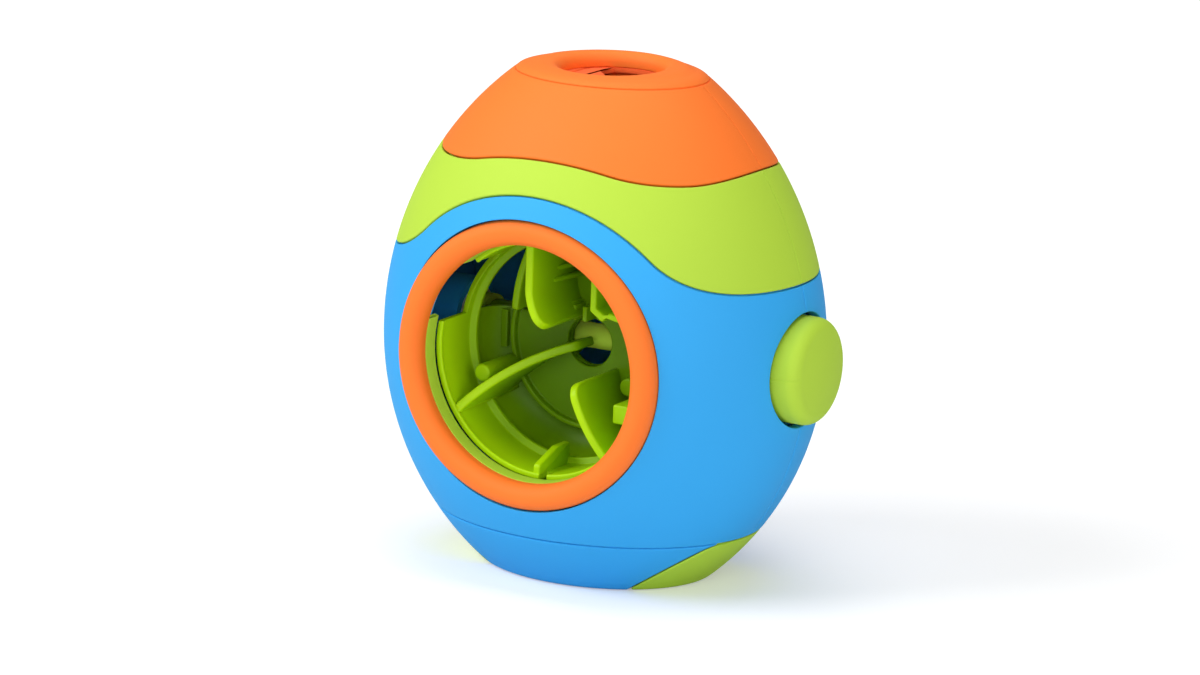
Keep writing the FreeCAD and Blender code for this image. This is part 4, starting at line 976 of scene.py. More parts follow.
def patch_form(stock, mirror, edge):
    """Green patch of one side: from its peak under the seam down over the foot's edge to the floor."""
    shift = -HALF_GAP
    peak = SEAM_Z - HALF_GAP
    while patch_x(peak, shift) > skin(peak)[0]:
        peak -= 0.02
    rows = foot_rows(peak, 0.05, 8)
    under = [("wall", z, PAN_DEPTH) for z in np.linspace(FOOT_TOP + 3, peak, 6)]
    under = [("floor", 1.0, PAN_DEPTH), ("floor", 0.3, PAN_DEPTH)] + under
    floor_end = patch_x(0.0, shift)
    edges = round_steps(edge)
    columns = [(0.0, a, d) for a, d in edges] + [(f, edge, 0.0) for f in np.linspace(0, 1, 61)[1:-1]]
    columns += [(1.0, a, d) for a, d in reversed(edges)]

    def point(kind, value, depth, share, aside):
        wide, deep, level = foot_spot(kind, value, depth, floor_end)
        flat = 0.0 if kind == "floor" else 1.0
        line_x = patch_x(foot_level(kind, value), shift) + aside * flat
        limit = math.acos(max(-1.0, min(1.0, line_x / foot_spot(kind, value, 0.0, floor_end)[0])))
        angle = limit * (1 - 2 * share)
        return (mirror * wide * math.cos(angle), deep * math.sin(angle), level)

    loops = []
    for share, aside, sink in columns:
        loop = [point(k, v, max(d, sink if k != "floor" else 0.0), share, aside) for k, v, d in rows]
        loop += [point(k, v, d, share, 0.0) for k, v, d in under]
        loops.append(loop)
    stock.loft(loops)


class FEEDER_OT_base(bpy.types.Operator):
    """Build the base's two blue lobes and the green pan with its side patches"""
    bl_idname = "feeder.base"
    bl_label = "Base"

    def execute(self, context):
        edge = settings().edge
        holes = Stock()
        for x, y in BASE_SCREWS:
            holes.loft([[(x + u, y + v, z) for u, v in hole_outline()] for z in (-2.0, WALL)])
        for side, name in ((-1, "base_lobe_front"), (1, "base_lobe_rear")):
            stock = Stock()
            lobe_form(stock, side, edge)
            stock = carved(stock, holes)
            make_object(name + "_skin", stock.verts, stock.faces, "housing", "blue_plastic", [name])
        patches = Stock()
        for mirror in (1, -1):
            patch_form(patches, mirror, edge)
        turns = np.linspace(-1, 1, 41)
        reach = patch_x(0.0, -HALF_GAP)
        tilt = math.acos(reach / PAN_OVAL[0])
        oval = []
        for sign in (1, -1):
            for turn in turns:
                angle = sign * math.pi / 2 - turn * (math.pi / 2 - tilt)
                oval.append((PAN_OVAL[0] * math.cos(angle), PAN_OVAL[1] * math.sin(angle)))
        slab_form(patches, oval, 0.0, PAN_DEPTH, upright)
        stock = carved(patches, holes, crossing=True)
        tub = []
        outer = [(z, 2.95) for z in np.linspace(PAN_TOP_Z - 0.4, 3.2, 14)]
        inner = [(z, PAN_DEPTH) for z in np.linspace(5.0, PAN_TOP_Z, 14)]
        for turn in np.linspace(0, 2 * math.pi, 121)[:-1]:
            loop = []
            for z, depth in [(PAN_TOP_Z, 3.3)] + outer:
                wide, deep, _ = skin(z, depth)
                loop.append((wide * math.cos(turn), deep * math.sin(turn), z))
            loop += [(0.0, 0.0, 3.2), (0.0, 0.0, PAN_DEPTH + 0.01)]
            for z, depth in inner:
                wide, deep, _ = skin(z, depth)
                loop.append((wide * math.cos(turn), deep * math.sin(turn), z))
            tub.append(loop)
        stock.loft(tub, around=True)
        posts = [(x, y, 4.0, PAN_TOP_Z) for x, y in BASE_SCREWS]
        posts += [(x, y, 3.0, 13.1) for x, y in COVER_SCREWS]
        for x, y, radius, height in posts:
            outline = rounded([(0.0, 3.8), (radius, 3.8), (radius, height, 0.4), (1.5, height, 0.3),
                               (1.5, height - 3), (0.0, height - 3)], 4)
            stock.turned(outline, lambda r, a, z: (x + r * math.cos(a), y + r * math.sin(a), z), 32)
        well = rounded([(18.3, 3.8), (20.1, 3.8), (20.1, 13.1, 0.4), (18.3, 13.1, 0.4)], 4)
        stock.turned(well, about_upright, 96)
        make_object("base_pan_form", stock.verts, stock.faces, "housing", "green_plastic", ["base_pan"])
        return {"FINISHED"}


class FEEDER_OT_knobs(bpy.types.Operator):
    """Build the tall right knob and the low left one, each with its mould line"""
    bl_idname = "feeder.knobs"
    bl_label = "Knobs"

    def execute(self, context):
        crown, edge, back = 1.2, 4.2, POCKET_FLOOR_X + 0.6
        rise = KNOB_R - edge
        dome_r = (rise ** 2 + crown ** 2) / (2 * crown)
        beside_line = [0.014, 2 * math.pi - 0.014, math.pi - 0.014, math.pi + 0.014]
        turns = sorted(list(np.linspace(0, 2 * math.pi, 129)[:-1]) + beside_line)
        for m, face, name in ((1, KNOB_FACES[0], "knob_right"), (-1, KNOB_FACES[1], "knob_left")):
            outline = [(0.0, face)]
            for i in range(1, 12):
                r = rise * i / 12
                outline.append((r, face - dome_r + math.sqrt(dome_r ** 2 - r ** 2)))
            outline += arc_points((rise, face - crown - edge), edge, math.pi / 2, 0.0, 12)
            outline += arc_points((KNOB_R - 0.8, back + 0.8), 0.8, 0.0, -math.pi / 2, 4)
            outline += [(8.0, back), (8.0, 40.3), (SHAFT_R, 40.3), (SHAFT_R, 66.03), (0.0, 66.03)]
            rings = []
            for turn in turns:
                off = abs((turn + math.pi / 2) % math.pi - math.pi / 2)
                mark = 0.14 if off < 1e-6 else 0.0
                ring = []
                for r, x in outline:
                    rim = mark if x > back + 0.4 and r > 13 else 0.0
                    ring.append(about_knob(r - rim, turn, m * x))
                rings.append(ring)
            stock = Stock()
            stock.loft(rings, around=True)
            make_object(name + "_turned", stock.verts, stock.faces, "tumbler", "green_plastic", [name])
        return {"FINISHED"}


class FEEDER_OT_ring(bpy.types.Operator):
    """Build the orange porthole ring and the green liner behind it"""
    bl_idname = "feeder.ring"
    bl_label = "Porthole ring"

    def execute(self, context):
        step = LINER_FRONT_Y - 0.15
        outline = rounded([(RING_INNER_R, step, 0.25), (RING_INNER_R, RING_CREST_Y, RING_EDGE),
                           (RING_OUTER_R, RING_CREST_Y, RING_EDGE), (RING_OUTER_R, RING_SEAT_Y, 0.3),
                           (LINER_RIM_R + 0.15, RING_SEAT_Y), (LINER_RIM_R + 0.15, step)], 14)
        stock = Stock().turned(outline, about_porthole, 216)
        make_object("porthole_ring_turned", stock.verts, stock.faces, "housing", "orange_plastic",
                    ["porthole_ring"])

        outline = rounded([(RING_INNER_R, LINER_REAR_Y, 0.5), (RING_INNER_R, LINER_FRONT_Y, 0.3),
                           (LINER_RIM_R, LINER_FRONT_Y, 0.3), (LINER_RIM_R, RING_SEAT_Y, 0.2),
                           (LINER_OUTER_R, RING_SEAT_Y), (LINER_OUTER_R, LINER_REAR_Y, 0.4)], 4)
        start = math.pi - math.asin(9.0 / RING_INNER_R)
        rings = []
        sweep = WINDOW_SLOPE + 2 * math.pi - start
        turns = list(np.linspace(start, start + sweep, 181))
        for end, mark in ((turns[0], -1), (turns[-1], 1)):
            shrunk = [[about_porthole(r, end - mark * (0.4 - d) / RING_INNER_R, y)
                       for r, y in inset(outline, a)]
                      for a, d in round_steps(0.4, 4)]
            rings.append(shrunk[::-1] if mark < 0 else shrunk)
        middle = [[about_porthole(r, turn, y) for r, y in outline] for turn in turns[2:-2]]
        stock = Stock().loft(rings[0] + middle + rings[1])
        make_object("ring_liner_turned", stock.verts, stock.faces, "housing", "green_plastic", ["ring_liner"])
        return {"FINISHED"}


def arc3(a, via, b, steps):
    """Points along the circular arc through three points, without the first."""
    (x1, y1), (x2, y2), (x3, y3) = a, via, b
    d = 2 * (x1 * (y2 - y3) + x2 * (y3 - y1) + x3 * (y1 - y2))
    q1, q2, q3 = x1 * x1 + y1 * y1, x2 * x2 + y2 * y2, x3 * x3 + y3 * y3
    cx = (q1 * (y2 - y3) + q2 * (y3 - y1) + q3 * (y1 - y2)) / d
    cy = (q1 * (x3 - x2) + q2 * (x1 - x3) + q3 * (x2 - x1)) / d
    start = math.atan2(y1 - cy, x1 - cx)
    turn = (math.atan2(y3 - cy, x3 - cx) - start + math.pi) % (2 * math.pi) - math.pi
    return arc_points((cx, cy), math.hypot(x1 - cx, y1 - cy), start, start + turn, steps)[1:]


def window_cutter(rear):
    """The two windows through the bowl's wall at the upper left, as rounded blocks."""
    low = math.asin(7.0 / 23.0)
    outline = arc_points((0.0, 0.0), 23.0, math.pi - low, WINDOW_SLOPE, 24)
    outline += [(50 * math.cos(WINDOW_SLOPE), 50 * math.sin(WINDOW_SLOPE)), (-50.0, 50.0), (-50.0, 7.0)]
    stock = Stock()
    slab_form(stock, outline, -44.0, -23.5, depthwise, 0.0, 0.8)
    slab_form(stock, outline, -18.0, rear, depthwise, 0.8, 0.0)
    return stock


BOWL_SLOPE = [(BOWL_BARREL_R, -17.0)] + arc3((BOWL_BARREL_R, -17.0), (34.1, -9.86), (28.8, BOWL_FLOOR_Y), 10)


class FEEDER_OT_bowl(bpy.types.Operator):
    """Build the tumbler's bowl with its lip, terrace, windows, divider, peg and hubs"""
    bl_idname = "feeder.bowl"
    bl_label = "Bowl"

    def execute(self, context):
        rear = BOWL_FLOOR_Y + 1.9
        out = [(7.6, rear), (28.8, rear)] + arc3((28.8, rear), (35.4, -8.5), (BOWL_R, -17.0), 10)
        out += rounded([(BOWL_R, -17.1), (BOWL_R, -37.4, 0.6), (37.6, BOWL_MOUTH_Y, 0.5),
                        (35.9, BOWL_MOUTH_Y, 0.7), (35.9, -37.5, 0.4), (BOWL_BARREL_R, -36.6, 0.6),
                        (BOWL_BARREL_R, -21.15, 0.7), (34.2, -20.45, 0.45), (34.2, -19.15, 0.45),
                        (BOWL_BARREL_R, -18.45, 0.6)], 5)
        out += BOWL_SLOPE + [(20.0, BOWL_FLOOR_Y), (7.9, BOWL_FLOOR_Y), (7.6, BOWL_FLOOR_Y + 0.3)]
        main = Stock().turned(out, about_porthole, 192)
        cutter = window_cutter(4.0)
        slot = [(0.6, -50.0), (3.2, -50.0), (3.2, -33.0), (0.6, -33.0)]
        slot = rounded([slot[0], slot[1], (*slot[2], 0.8), (*slot[3], 0.8)], 4)
        slab_form(cutter, slot, -50.0, -20.0, lambda u, v, w: (u, v, AXIS_Z + w))
        stock = carved(main, cutter, 0.28)

        rib = rounded([(-37.2, -38.0, 0.5), (-33.4, -38.0, 1.2), (-29.6, -27.0, 2.5), (-29.6, -19.8, 0.4),
                       (-37.2, -19.8)], 6)
        slab_form(stock, rib, -1.8, 0.6, lambda u, v, w: (w, v, AXIS_Z + u), 0.5, 0.5)
        peg = [(0.0, -28.0)] + arc_points((2.0, -27.2), 0.8, -math.pi / 2, 0.0, 5)
        peg += [(2.8, -6.0), (0.0, -6.0)]
        stock.turned(peg, about_spot(*PEG_SPOT), 40)
        for m in (1, -1):
            hub = rounded([(SHAFT_R, 8.6, 0.4), (6.5, 8.6, 0.6), (6.5, 40.0, 0.5), (SHAFT_R, 40.0, 0.3)], 4)
            stock.turned(hub, lambda r, a, x: about_knob(r, a, m * x), 72)
            web = rounded([(-9.0, -6.0), (-0.6, -6.0, 1.2), (-0.6, 6.0, 1.2), (-9.0, 6.0)], 5)
            slab_form(stock, web, 29.8, 32.2, lambda u, v, w: (m * w, u, AXIS_Z + v), 0.4, 0.4)
        make_object("tumbler_bowl_form", stock.verts, stock.faces, "tumbler", "bowl_green_painted_shade", ["tumbler_bowl"])
        return {"FINISHED"}


def bowl_radius(y):
    """Inner radius of the bowl at a depth."""
    if y < -36.6:
        return 35.9
    if -21.15 < y < -18.45:
        return 34.2 + max(0.0, abs(y + 19.8) - 0.65) * 3
    if y > -17.0:
        return float(np.interp(y, [q[1] for q in BOWL_SLOPE], [q[0] for q in BOWL_SLOPE]))
    return BOWL_BARREL_R


def kept_inside(points):
    """Points drawn in to just inside the bowl's wall."""
    out = []
    for x, y, z in points:
        limit = bowl_radius(y) - 0.12
        reach = math.hypot(x, z - AXIS_Z)
        if reach > limit:
            x, z = x * limit / reach, AXIS_Z + (z - AXIS_Z) * limit / reach
        out.append((x, y, z))
    return out


def blade(stock, line, front, thick=VANE_T, soft=0.85):
    """Blade that stands on the disc along a line of (x, height) points.
    front gives the depth of its front edge at a distance along the line."""
    line = np.array(line, float)
    steps = np.linalg.norm(np.diff(line, axis=0), axis=1)
    along = np.concatenate([[0.0], np.cumsum(steps)])
    total = along[-1]
    marks = list(np.linspace(0.0, total, 34))
    round_end = [soft * (1 - math.cos(a)) for a in np.linspace(0, math.pi / 2, 6)]
    marks = round_end + [m for m in marks if m > soft]
    rear = MAZE_DISC_Y + 0.9
    rings = []
    for mark in marks:
        here = np.array([np.interp(mark, along, line[:, 0]), np.interp(mark, along, line[:, 1])])
        ahead = min(mark + 0.4, total)
        behind = max(mark - 0.4, 0.0)
        way = np.array([np.interp(ahead, along, line[:, 0]) - np.interp(behind, along, line[:, 0]),
                        np.interp(ahead, along, line[:, 1]) - np.interp(behind, along, line[:, 1])])
        way /= np.linalg.norm(way)
        across = np.array([-way[1], way[0]])
        half = thick / 2
        if mark < soft:
            half = thick / 2 - soft + math.sqrt(max(soft ** 2 - (soft - mark) ** 2, 0.0))
        y0 = front(mark, total)
        r = min(soft, half * 0.98)
        side = [(half, y) for y in np.linspace(rear, y0 + r, 16)]
        arc = [(half - r * (1 - math.cos(a)), y0 + r * (1 - math.sin(a)))
               for a in np.linspace(0, math.pi / 2, 7)]
        half_ring = side + arc[1:]
        full = half_ring + [(-w, y) for w, y in reversed(half_ring)]
        ring = [(here[0] + across[0] * w, y, AXIS_Z + here[1] + across[1] * w) for w, y in full]
        rings.append(kept_inside(ring))
    stock.loft(rings)


def corner_round(mark, radius):
    """How far an edge falls back near its end, for a round corner."""
    return radius - math.sqrt(max(radius ** 2 - max(radius - mark, 0.0) ** 2, 0.0))


TOP_BLADE_RIBS = ((13.0, -29.0), (21.5, -23.0), (25.0, -21.0), (28.5, -19.0))


def rib_tree():
    """Ribs on a blade's face, one from each point back to the disc, deeper towards the disc."""
    t = Tree("ribs")
    for name, value in (("Thickness", 1.6), ("Height", 2.4), ("Sink", 0.8),
                        ("Disc level", MAZE_DISC_Y + 0.9)):
        t.put(name, "INPUT", "NodeSocketFloat", value * MM)
    t.put("Finish", "INPUT", "NodeSocketMaterial")
    line = t.node("GeometryNodeCurvePrimitiveLine", {}, {"Start": (0.0, 0.0, 0.0), "End": (0.0, 1.0, 0.0)})
    line = t.node("GeometryNodeResampleCurve", {}, {"Curve": line, "Count": 24})
    square = t.node("GeometryNodeCurvePrimitiveQuadrilateral", {}, {"Width": 1.0, "Height": 1.0})
    square = t.node("GeometryNodeFilletCurve", {"mode": "POLY"}, {"Curve": square, "Radius": 0.3, "Count": 5})
    bar = t.node("GeometryNodeCurveToMesh", {}, {"Curve": line, "Profile Curve": square, "Fill Caps": True})
    parts = t.group.nodes.new("ShaderNodeSeparateXYZ")
    t.group.links.new(t.node("GeometryNodeInputPosition", {}, {}), parts.inputs[0])
    x, y, z = parts.outputs
    out = t.sum("MULTIPLY", "Height", t.ramp(y, 0.0, 0.8, 0.1, 1.0))
    wide = t.sum("MULTIPLY", t.sum("ADD", x, 0.5), t.sum("ADD", out, "Sink"))
    level = t.sum("MULTIPLY", t.sum("MULTIPLY", z, "Thickness"), t.ramp(y, 0.0, 0.1, 0.6, 1.0))
    spot = t.node("ShaderNodeCombineXYZ", {}, {0: t.sum("SUBTRACT", wide, "Sink"), 1: y, 2: level})
    bar = t.node("GeometryNodeSetPosition", {}, {"Geometry": bar, "Position": spot})
    depth = t.node("ShaderNodeSeparateXYZ", {}, {0: t.node("GeometryNodeInputPosition", {}, {})}, 1)
    size = t.node("ShaderNodeCombineXYZ", {}, {0: 1.0, 1: t.sum("SUBTRACT", "Disc level", depth), 2: 1.0})
    points = t.node("GeometryNodeMeshToPoints", {}, {"Mesh": "Geometry"})
    placed = t.node("GeometryNodeInstanceOnPoints", {}, {"Points": points, "Instance": bar, "Scale": size})
    t.finish(placed, "Finish")
    return t.group


class FEEDER_OT_maze(bpy.types.Operator):
    """Build the maze insert: lipped disc, curved blades, block, tab and bosses"""
    bl_idname = "feeder.maze"
    bl_label = "Maze insert"

    def execute(self, context):
        front = MAZE_DISC_Y
        plate = rounded([(7.75, BOWL_FLOOR_Y - 0.02), (7.75, front, 0.5), (26.1, front, 0.6),
                         (26.1, front - 2.2, 0.5), (27.6, front - 2.2, 0.5), (27.6, BOWL_FLOOR_Y - 0.02)], 5)
        cutter = window_cutter(4.0)
        cutter.turned([(0.0, -30.0), (3.0, -30.0), (3.0, 2.0), (0.0, 2.0)], about_spot(*PEG_SPOT), 40)
        stock = carved(Stock().turned(plate, about_porthole, 160), cutter, 0.2)

        angle = math.radians(214)
        root, tip = (0.8, 0.5), (36.6 * math.cos(angle), 36.6 * math.sin(angle))
        via = ((root[0] + tip[0]) / 2 + math.sin(angle) * 2.9, (root[1] + tip[1]) / 2 - math.cos(angle) * 2.9)
        line = [root] + arc3(root, via, tip, 30)
        blade(stock, line, lambda m, t: -17.0 + (BOWL_MOUTH_Y + 17.2) * m / t + corner_round(m, 2.0))

        angle = math.radians(308)
        root, tip = (9.2, -7.2), (37.5 * math.cos(angle), 37.5 * math.sin(angle))
        via = ((root[0] + tip[0]) / 2 + math.sin(angle) * 1.8, (root[1] + tip[1]) / 2 - math.cos(angle) * 1.8)
        blade(stock, [root] + arc3(root, via, tip, 24), lambda m, t: MAZE_FRONT_Y + corner_round(m, 5.0))

        low, knee = (-1.6, 8.6), (-6.6, 20.0)
        line = [low] + arc3(low, (-5.2, 14.3), knee, 14) + [(-6.6, h) for h in np.linspace(21.5, 37.5, 10)]
        blade(stock, line, lambda m, t: MAZE_FRONT_Y + corner_round(m, 5.0))

        line = [(-20.3, 9.5)] + arc3((-20.3, 9.5), (-18.8, 20.0), (-14.5, 31.5), 20)
        blade(stock, line, lambda m, t: -21.0 + corner_round(m, 1.2), 2.4, 0.7)

        t = 2.2
        right = math.asin(11.0 / BOWL_BARREL_R)
        top = math.asin(31.0 / BOWL_BARREL_R)
        turns = np.linspace(top, right, 13)
        outer = [(40 * math.cos(a), 40 * math.sin(a)) for a in turns]
        outer = rounded([(17.0, 11.0, 1.0), (11.0, 15.0, 1.0), (11.0, 31.0, 0.8)], 5) + outer
        outer[-1] = (outer[-1][0], 11.0)
        low = math.asin((11.0 + t) / 35.4)
        high = math.asin((31.0 - t) / 35.4)
        inner = [(35.4 * math.cos(a), 35.4 * math.sin(a)) for a in np.linspace(high, low, 13)]
        inner = rounded([(18.1, 11.0 + t, 0.8), (11.0 + t, 16.1, 0.8), (11.0 + t, 31.0 - t, 0.8)], 5) + inner
        rings = [(outer, MAZE_DISC_Y + 0.9)] + [(outer, y) for y in np.linspace(-10, -27.9, 14)]
        rings += [(inset(outer, a), -28.5 + d) for a, d in round_steps(0.6, 4)[1:]]
        rings += [(inset(inner, -a), -28.5 + d) for a, d in reversed(round_steps(0.6, 4)[:-1])]
        rings += [(inner, y) for y in np.linspace(-27.5, -21.3, 5)]
        rings += [(inset(inner, a), -20.5 - d) for a, d in round_steps(0.8, 4)]
        stock.loft([kept_inside([depthwise(x, h, y) for x, h in ring]) for ring, y in rings])

        square = rounded([(20.5, -18.8, 0.7), (26.5, -18.8, 0.7), (26.5, -12.8, 0.7), (20.5, -12.8, 0.7)], 5)
        slab_form(stock, square, -29.0, front + 0.9, depthwise, 0.6)
        for x in (-3.4, 0.6):
            post = rounded([(x, 7.8, 0.4), (x + 1.6, 7.8, 0.4), (x + 1.6, 12.6, 0.4), (x, 12.6, 0.4)], 4)
            slab_form(stock, post, -15.0, front + 0.9, depthwise, 0.4)
        for x, h in MAZE_SCREWS:
            boss = [(0.0, -14.2)] + arc_points((2.2, -13.6), 0.6, -math.pi / 2, 0.0, 4)
            boss += [(2.8, -9.6)] + arc_points((3.6, -9.5), 0.8, math.pi, math.pi / 2, 4) + [(0.0, -8.0)]
            stock.turned(boss, about_spot(x, h), 36)
        ribs = grown("maze_ribs", [(-5.2, reach, AXIS_Z + h) for h, reach in TOP_BLADE_RIBS], rib_tree(),
                     {"Finish": bpy.data.materials["bowl_green_painted_shade"]})
        first = len(stock.verts)
        stock.verts.extend([list(v.co / MM) for v in ribs.data.vertices])
        stock.faces.extend([[first + i for i in face.vertices] for face in ribs.data.polygons])
        bpy.data.objects.remove(ribs)
        make_object("maze_insert_form", stock.verts, stock.faces, "tumbler", "bowl_green_painted_shade", ["maze_insert"])
        return {"FINISHED"}


class FEEDER_OT_fill(bpy.types.Operator):
    """Build the fill collar with its round lip, the valve ring and the two flaps"""
    bl_idname = "feeder.fill"
    bl_label = "Fill opening"

    def execute(self, context):
        rings = []
        for turn in np.linspace(0, 2 * math.pi, 193)[:-1]:
            c, sn = math.cos(turn), math.sin(turn)
            loop = []

            def oval(z, depth):
                wide, deep, level = skin(z, depth)
                loop.append((wide * c, deep * sn, float(level)))

            def curve(start, via, end, steps):
                for f in np.linspace(0, 1, steps + 1)[1:]:
                    loop.append(tuple(start * (1 - f) ** 2 + via * 2 * f * (1 - f) + end * f ** 2))

            oval(DISC_SEAT_Z + 0.02, 0.55)
            oval(DISC_SEAT_Z + 0.45, 0.5)
            for a, d in round_steps(0.25, 4):
                oval(DISC_SEAT_Z + 0.5 + a, d)
            oval(157.2, 0.0)
            wide, deep, _ = skin(157.2)
            start = np.array([float(wide) * c, float(deep) * sn, 157.2])
            rim = np.array([float(skin(158.0)[0]) * c, float(skin(158.0)[1]) * sn, 158.05])
            foot = np.array([CROWN[0] * c, CROWN[1] * sn, 158.1])
            stretch = CROWN[0] / CROWN[1]
            crest_z = LIP_CREST_Z - 0.6 * (1 - sn)
            crest = np.array([LIP_CREST_R * stretch * c, LIP_CREST_R * sn, crest_z])
            lip = np.array([LIP_CREST_R * c, LIP_CREST_R * sn, crest_z])
            low, high = foot + (crest - foot) * 0.3, foot + (crest - foot) * 0.72
            level = crest + (lip - crest) * 0.5
            curve(start, rim, low, 8)
            curve(low, (low + high) / 2, high, 3)
            curve(high, crest, level, 6)
            curve(level, (level + lip) / 2, lip, 3)
            for angle in np.linspace(math.pi / 2, math.pi, 12)[1:]:
                r = LIP_CREST_R + LIP_ROUND * math.cos(angle)
                z = crest_z - LIP_ROUND + LIP_ROUND * math.sin(angle)
                loop.append((r * c, r * sn, z))
            for r, z in rounded([(FILL_BORE_R, 156.2), (FILL_BORE_R, VALVE_TOP_Z, 0.25), (21.3, VALVE_TOP_Z),
                                 (21.3, 147.0, 0.4), (23.0, 147.0, 0.4), (23.0, DISC_SEAT_Z + 0.02)], 4)[1:]:
                loop.append((r * c, r * sn, z))
            rings.append(loop)
        stock = Stock()
        stock.loft(rings, around=True)
        for turn in (0.0, 0.5, 1.0, 1.5):
            c, sn = math.cos(turn * math.pi), math.sin(turn * math.pi)
            hook = rounded([(22.5, 151.4), (24.0, 152.2, 0.3), (24.0, 153.0, 0.3), (22.5, 153.0)], 4)
            slab_form(stock, hook, -4.5, 4.5, lambda r, z, w: (r * c - w * sn, r * sn + w * c, z), 0.3, 0.3)
        make_object("fill_collar_form", stock.verts, stock.faces, "lid", "orange_plastic", ["fill_collar"])

        middle = VALVE_TOP_Z - 1.0
        half = FLAP_HINGE_X + 0.9 + 0.3
        tilt = math.acos(half / VALVE_MOUTH_R)
        stock = Stock()
        mouth = []
        outer = []
        for sign in (0.0, math.pi):
            for a in np.linspace(tilt, math.pi - tilt, 33):
                mouth.append((VALVE_MOUTH_R * math.cos(sign + a), VALVE_MOUTH_R * math.sin(sign + a)))
                outer.append((VALVE_RING_R * math.cos(sign + a), VALVE_RING_R * math.sin(sign + a)))
            for f in np.linspace(0, 1, 12)[1:-1]:
                y = VALVE_MOUTH_R * math.sin(tilt) * (1 - 2 * f)
                x = -half if sign == 0.0 else half
                spread = math.pi - tilt + 2 * tilt * f
                mouth.append((x, y if sign == 0.0 else -y))
                outer.append((VALVE_RING_R * math.cos(sign + spread), VALVE_RING_R * math.sin(sign + spread)))
        rings = [(outer, middle - 1), (outer, middle + 0.98)]
        rings += [(inset(mouth, -a), middle + 0.98 - d) for a, d in reversed(round_steps(0.5, 4))]
        rings += [(inset(mouth, -a), middle - 1 + d) for a, d in round_steps(0.5, 4)]
        stock.loft([[upright(x, y, z) for x, y in ring] for ring, z in rings], around=True)
        make_object("valve_ring_form", stock.verts, stock.faces, "lid", "valve_rubber", ["valve_ring"])

        side_y = math.sqrt(FLAP_R ** 2 - 7.2 ** 2)
        for m, name in ((1, "petal_right"), (-1, "petal_left")):
            start = -math.atan2(math.sqrt(FLAP_R ** 2 - FLAP_HINGE_X ** 2), FLAP_HINGE_X)
            end = -math.atan2(side_y, 7.2)
            line = arc_points((0.0, 0.0), FLAP_R, start, end, 14)
            line += [(7.2, -side_y + 1.8)] + arc3((7.2, -side_y + 1.8), (6.9, -5.4), (5.1, -3.6), 8)
            line += arc3((5.1, -3.6), (3.3, 0.0), (5.1, 3.6), 12)
            line += arc3((5.1, 3.6), (6.9, 5.4), (7.2, side_y - 1.8), 8)
            line += arc_points((0.0, 0.0), FLAP_R, -end, -start, 14)
            stock = Stock()
            slab_form(stock, line, middle - 0.9, middle + 0.9, lambda x, y, z: (m * x, y, z), 0.6, 0.6)
            root = [(0.0, -7.6)] + arc_points((0.5, -7.2), 0.4, -math.pi / 2, 0.0, 3)
            root += arc_points((0.5, 7.2), 0.4, 0.0, math.pi / 2, 3) + [(0.0, 7.6)]
            stock.turned(root, lambda r, a, y: (m * (FLAP_HINGE_X + r * math.cos(a)), y,
                                                middle + r * math.sin(a)), 24)
            body = "flap_right" if m > 0 else "flap_left"
            make_object(name + "_form", stock.verts, stock.faces, body, "valve_rubber", [name])
        return {"FINISHED"}


class Tree:
    """Geometry Nodes tree with named inputs."""

    def __init__(self, name):
        self.group = bpy.data.node_groups.new(name, "GeometryNodeTree")
        self.put("Geometry", "INPUT", "NodeSocketGeometry")
        self.put("Geometry", "OUTPUT", "NodeSocketGeometry")
        self.start = self.group.nodes.new("NodeGroupInput")
        self.end = self.group.nodes.new("NodeGroupOutput")

    def put(self, name, way, kind, value=None):
        """Socket on the tree's face."""
        socket = self.group.interface.new_socket(name=name, in_out=way, socket_type=kind)
        if value is not None:
            socket.default_value = value

    def node(self, kind, settings, values, output=0):
        """Output socket of a new node; values may be numbers, names of tree inputs or other sockets."""
        node = self.group.nodes.new(kind)
        for key, value in settings.items():
            setattr(node, key, value)
        for key, value in values.items():
            socket = node.inputs[key]
            if isinstance(value, str):
                self.group.links.new(self.start.outputs[value], socket)
            elif isinstance(value, bpy.types.NodeSocket):
                self.group.links.new(value, socket)
            else:
                socket.default_value = value
        return node.outputs[output]

    def sum(self, operation, a, b=0.0):
        return self.node("ShaderNodeMath", {"operation": operation}, {0: a, 1: b})

    def ramp(self, value, low, high, start=0.0, end=1.0, kind="LINEAR"):
        return self.node("ShaderNodeMapRange", {"interpolation_type": kind},
                         {0: value, 1: low, 2: high, 3: start, 4: end})

    def finish(self, geometry, material):
        """Realize the instances, set the material and close the tree."""
        real = self.node("GeometryNodeRealizeInstances", {}, {0: geometry})
        done = self.node("GeometryNodeSetMaterial", {}, {"Geometry": real, "Material": material})
        self.group.links.new(done, self.end.inputs[0])


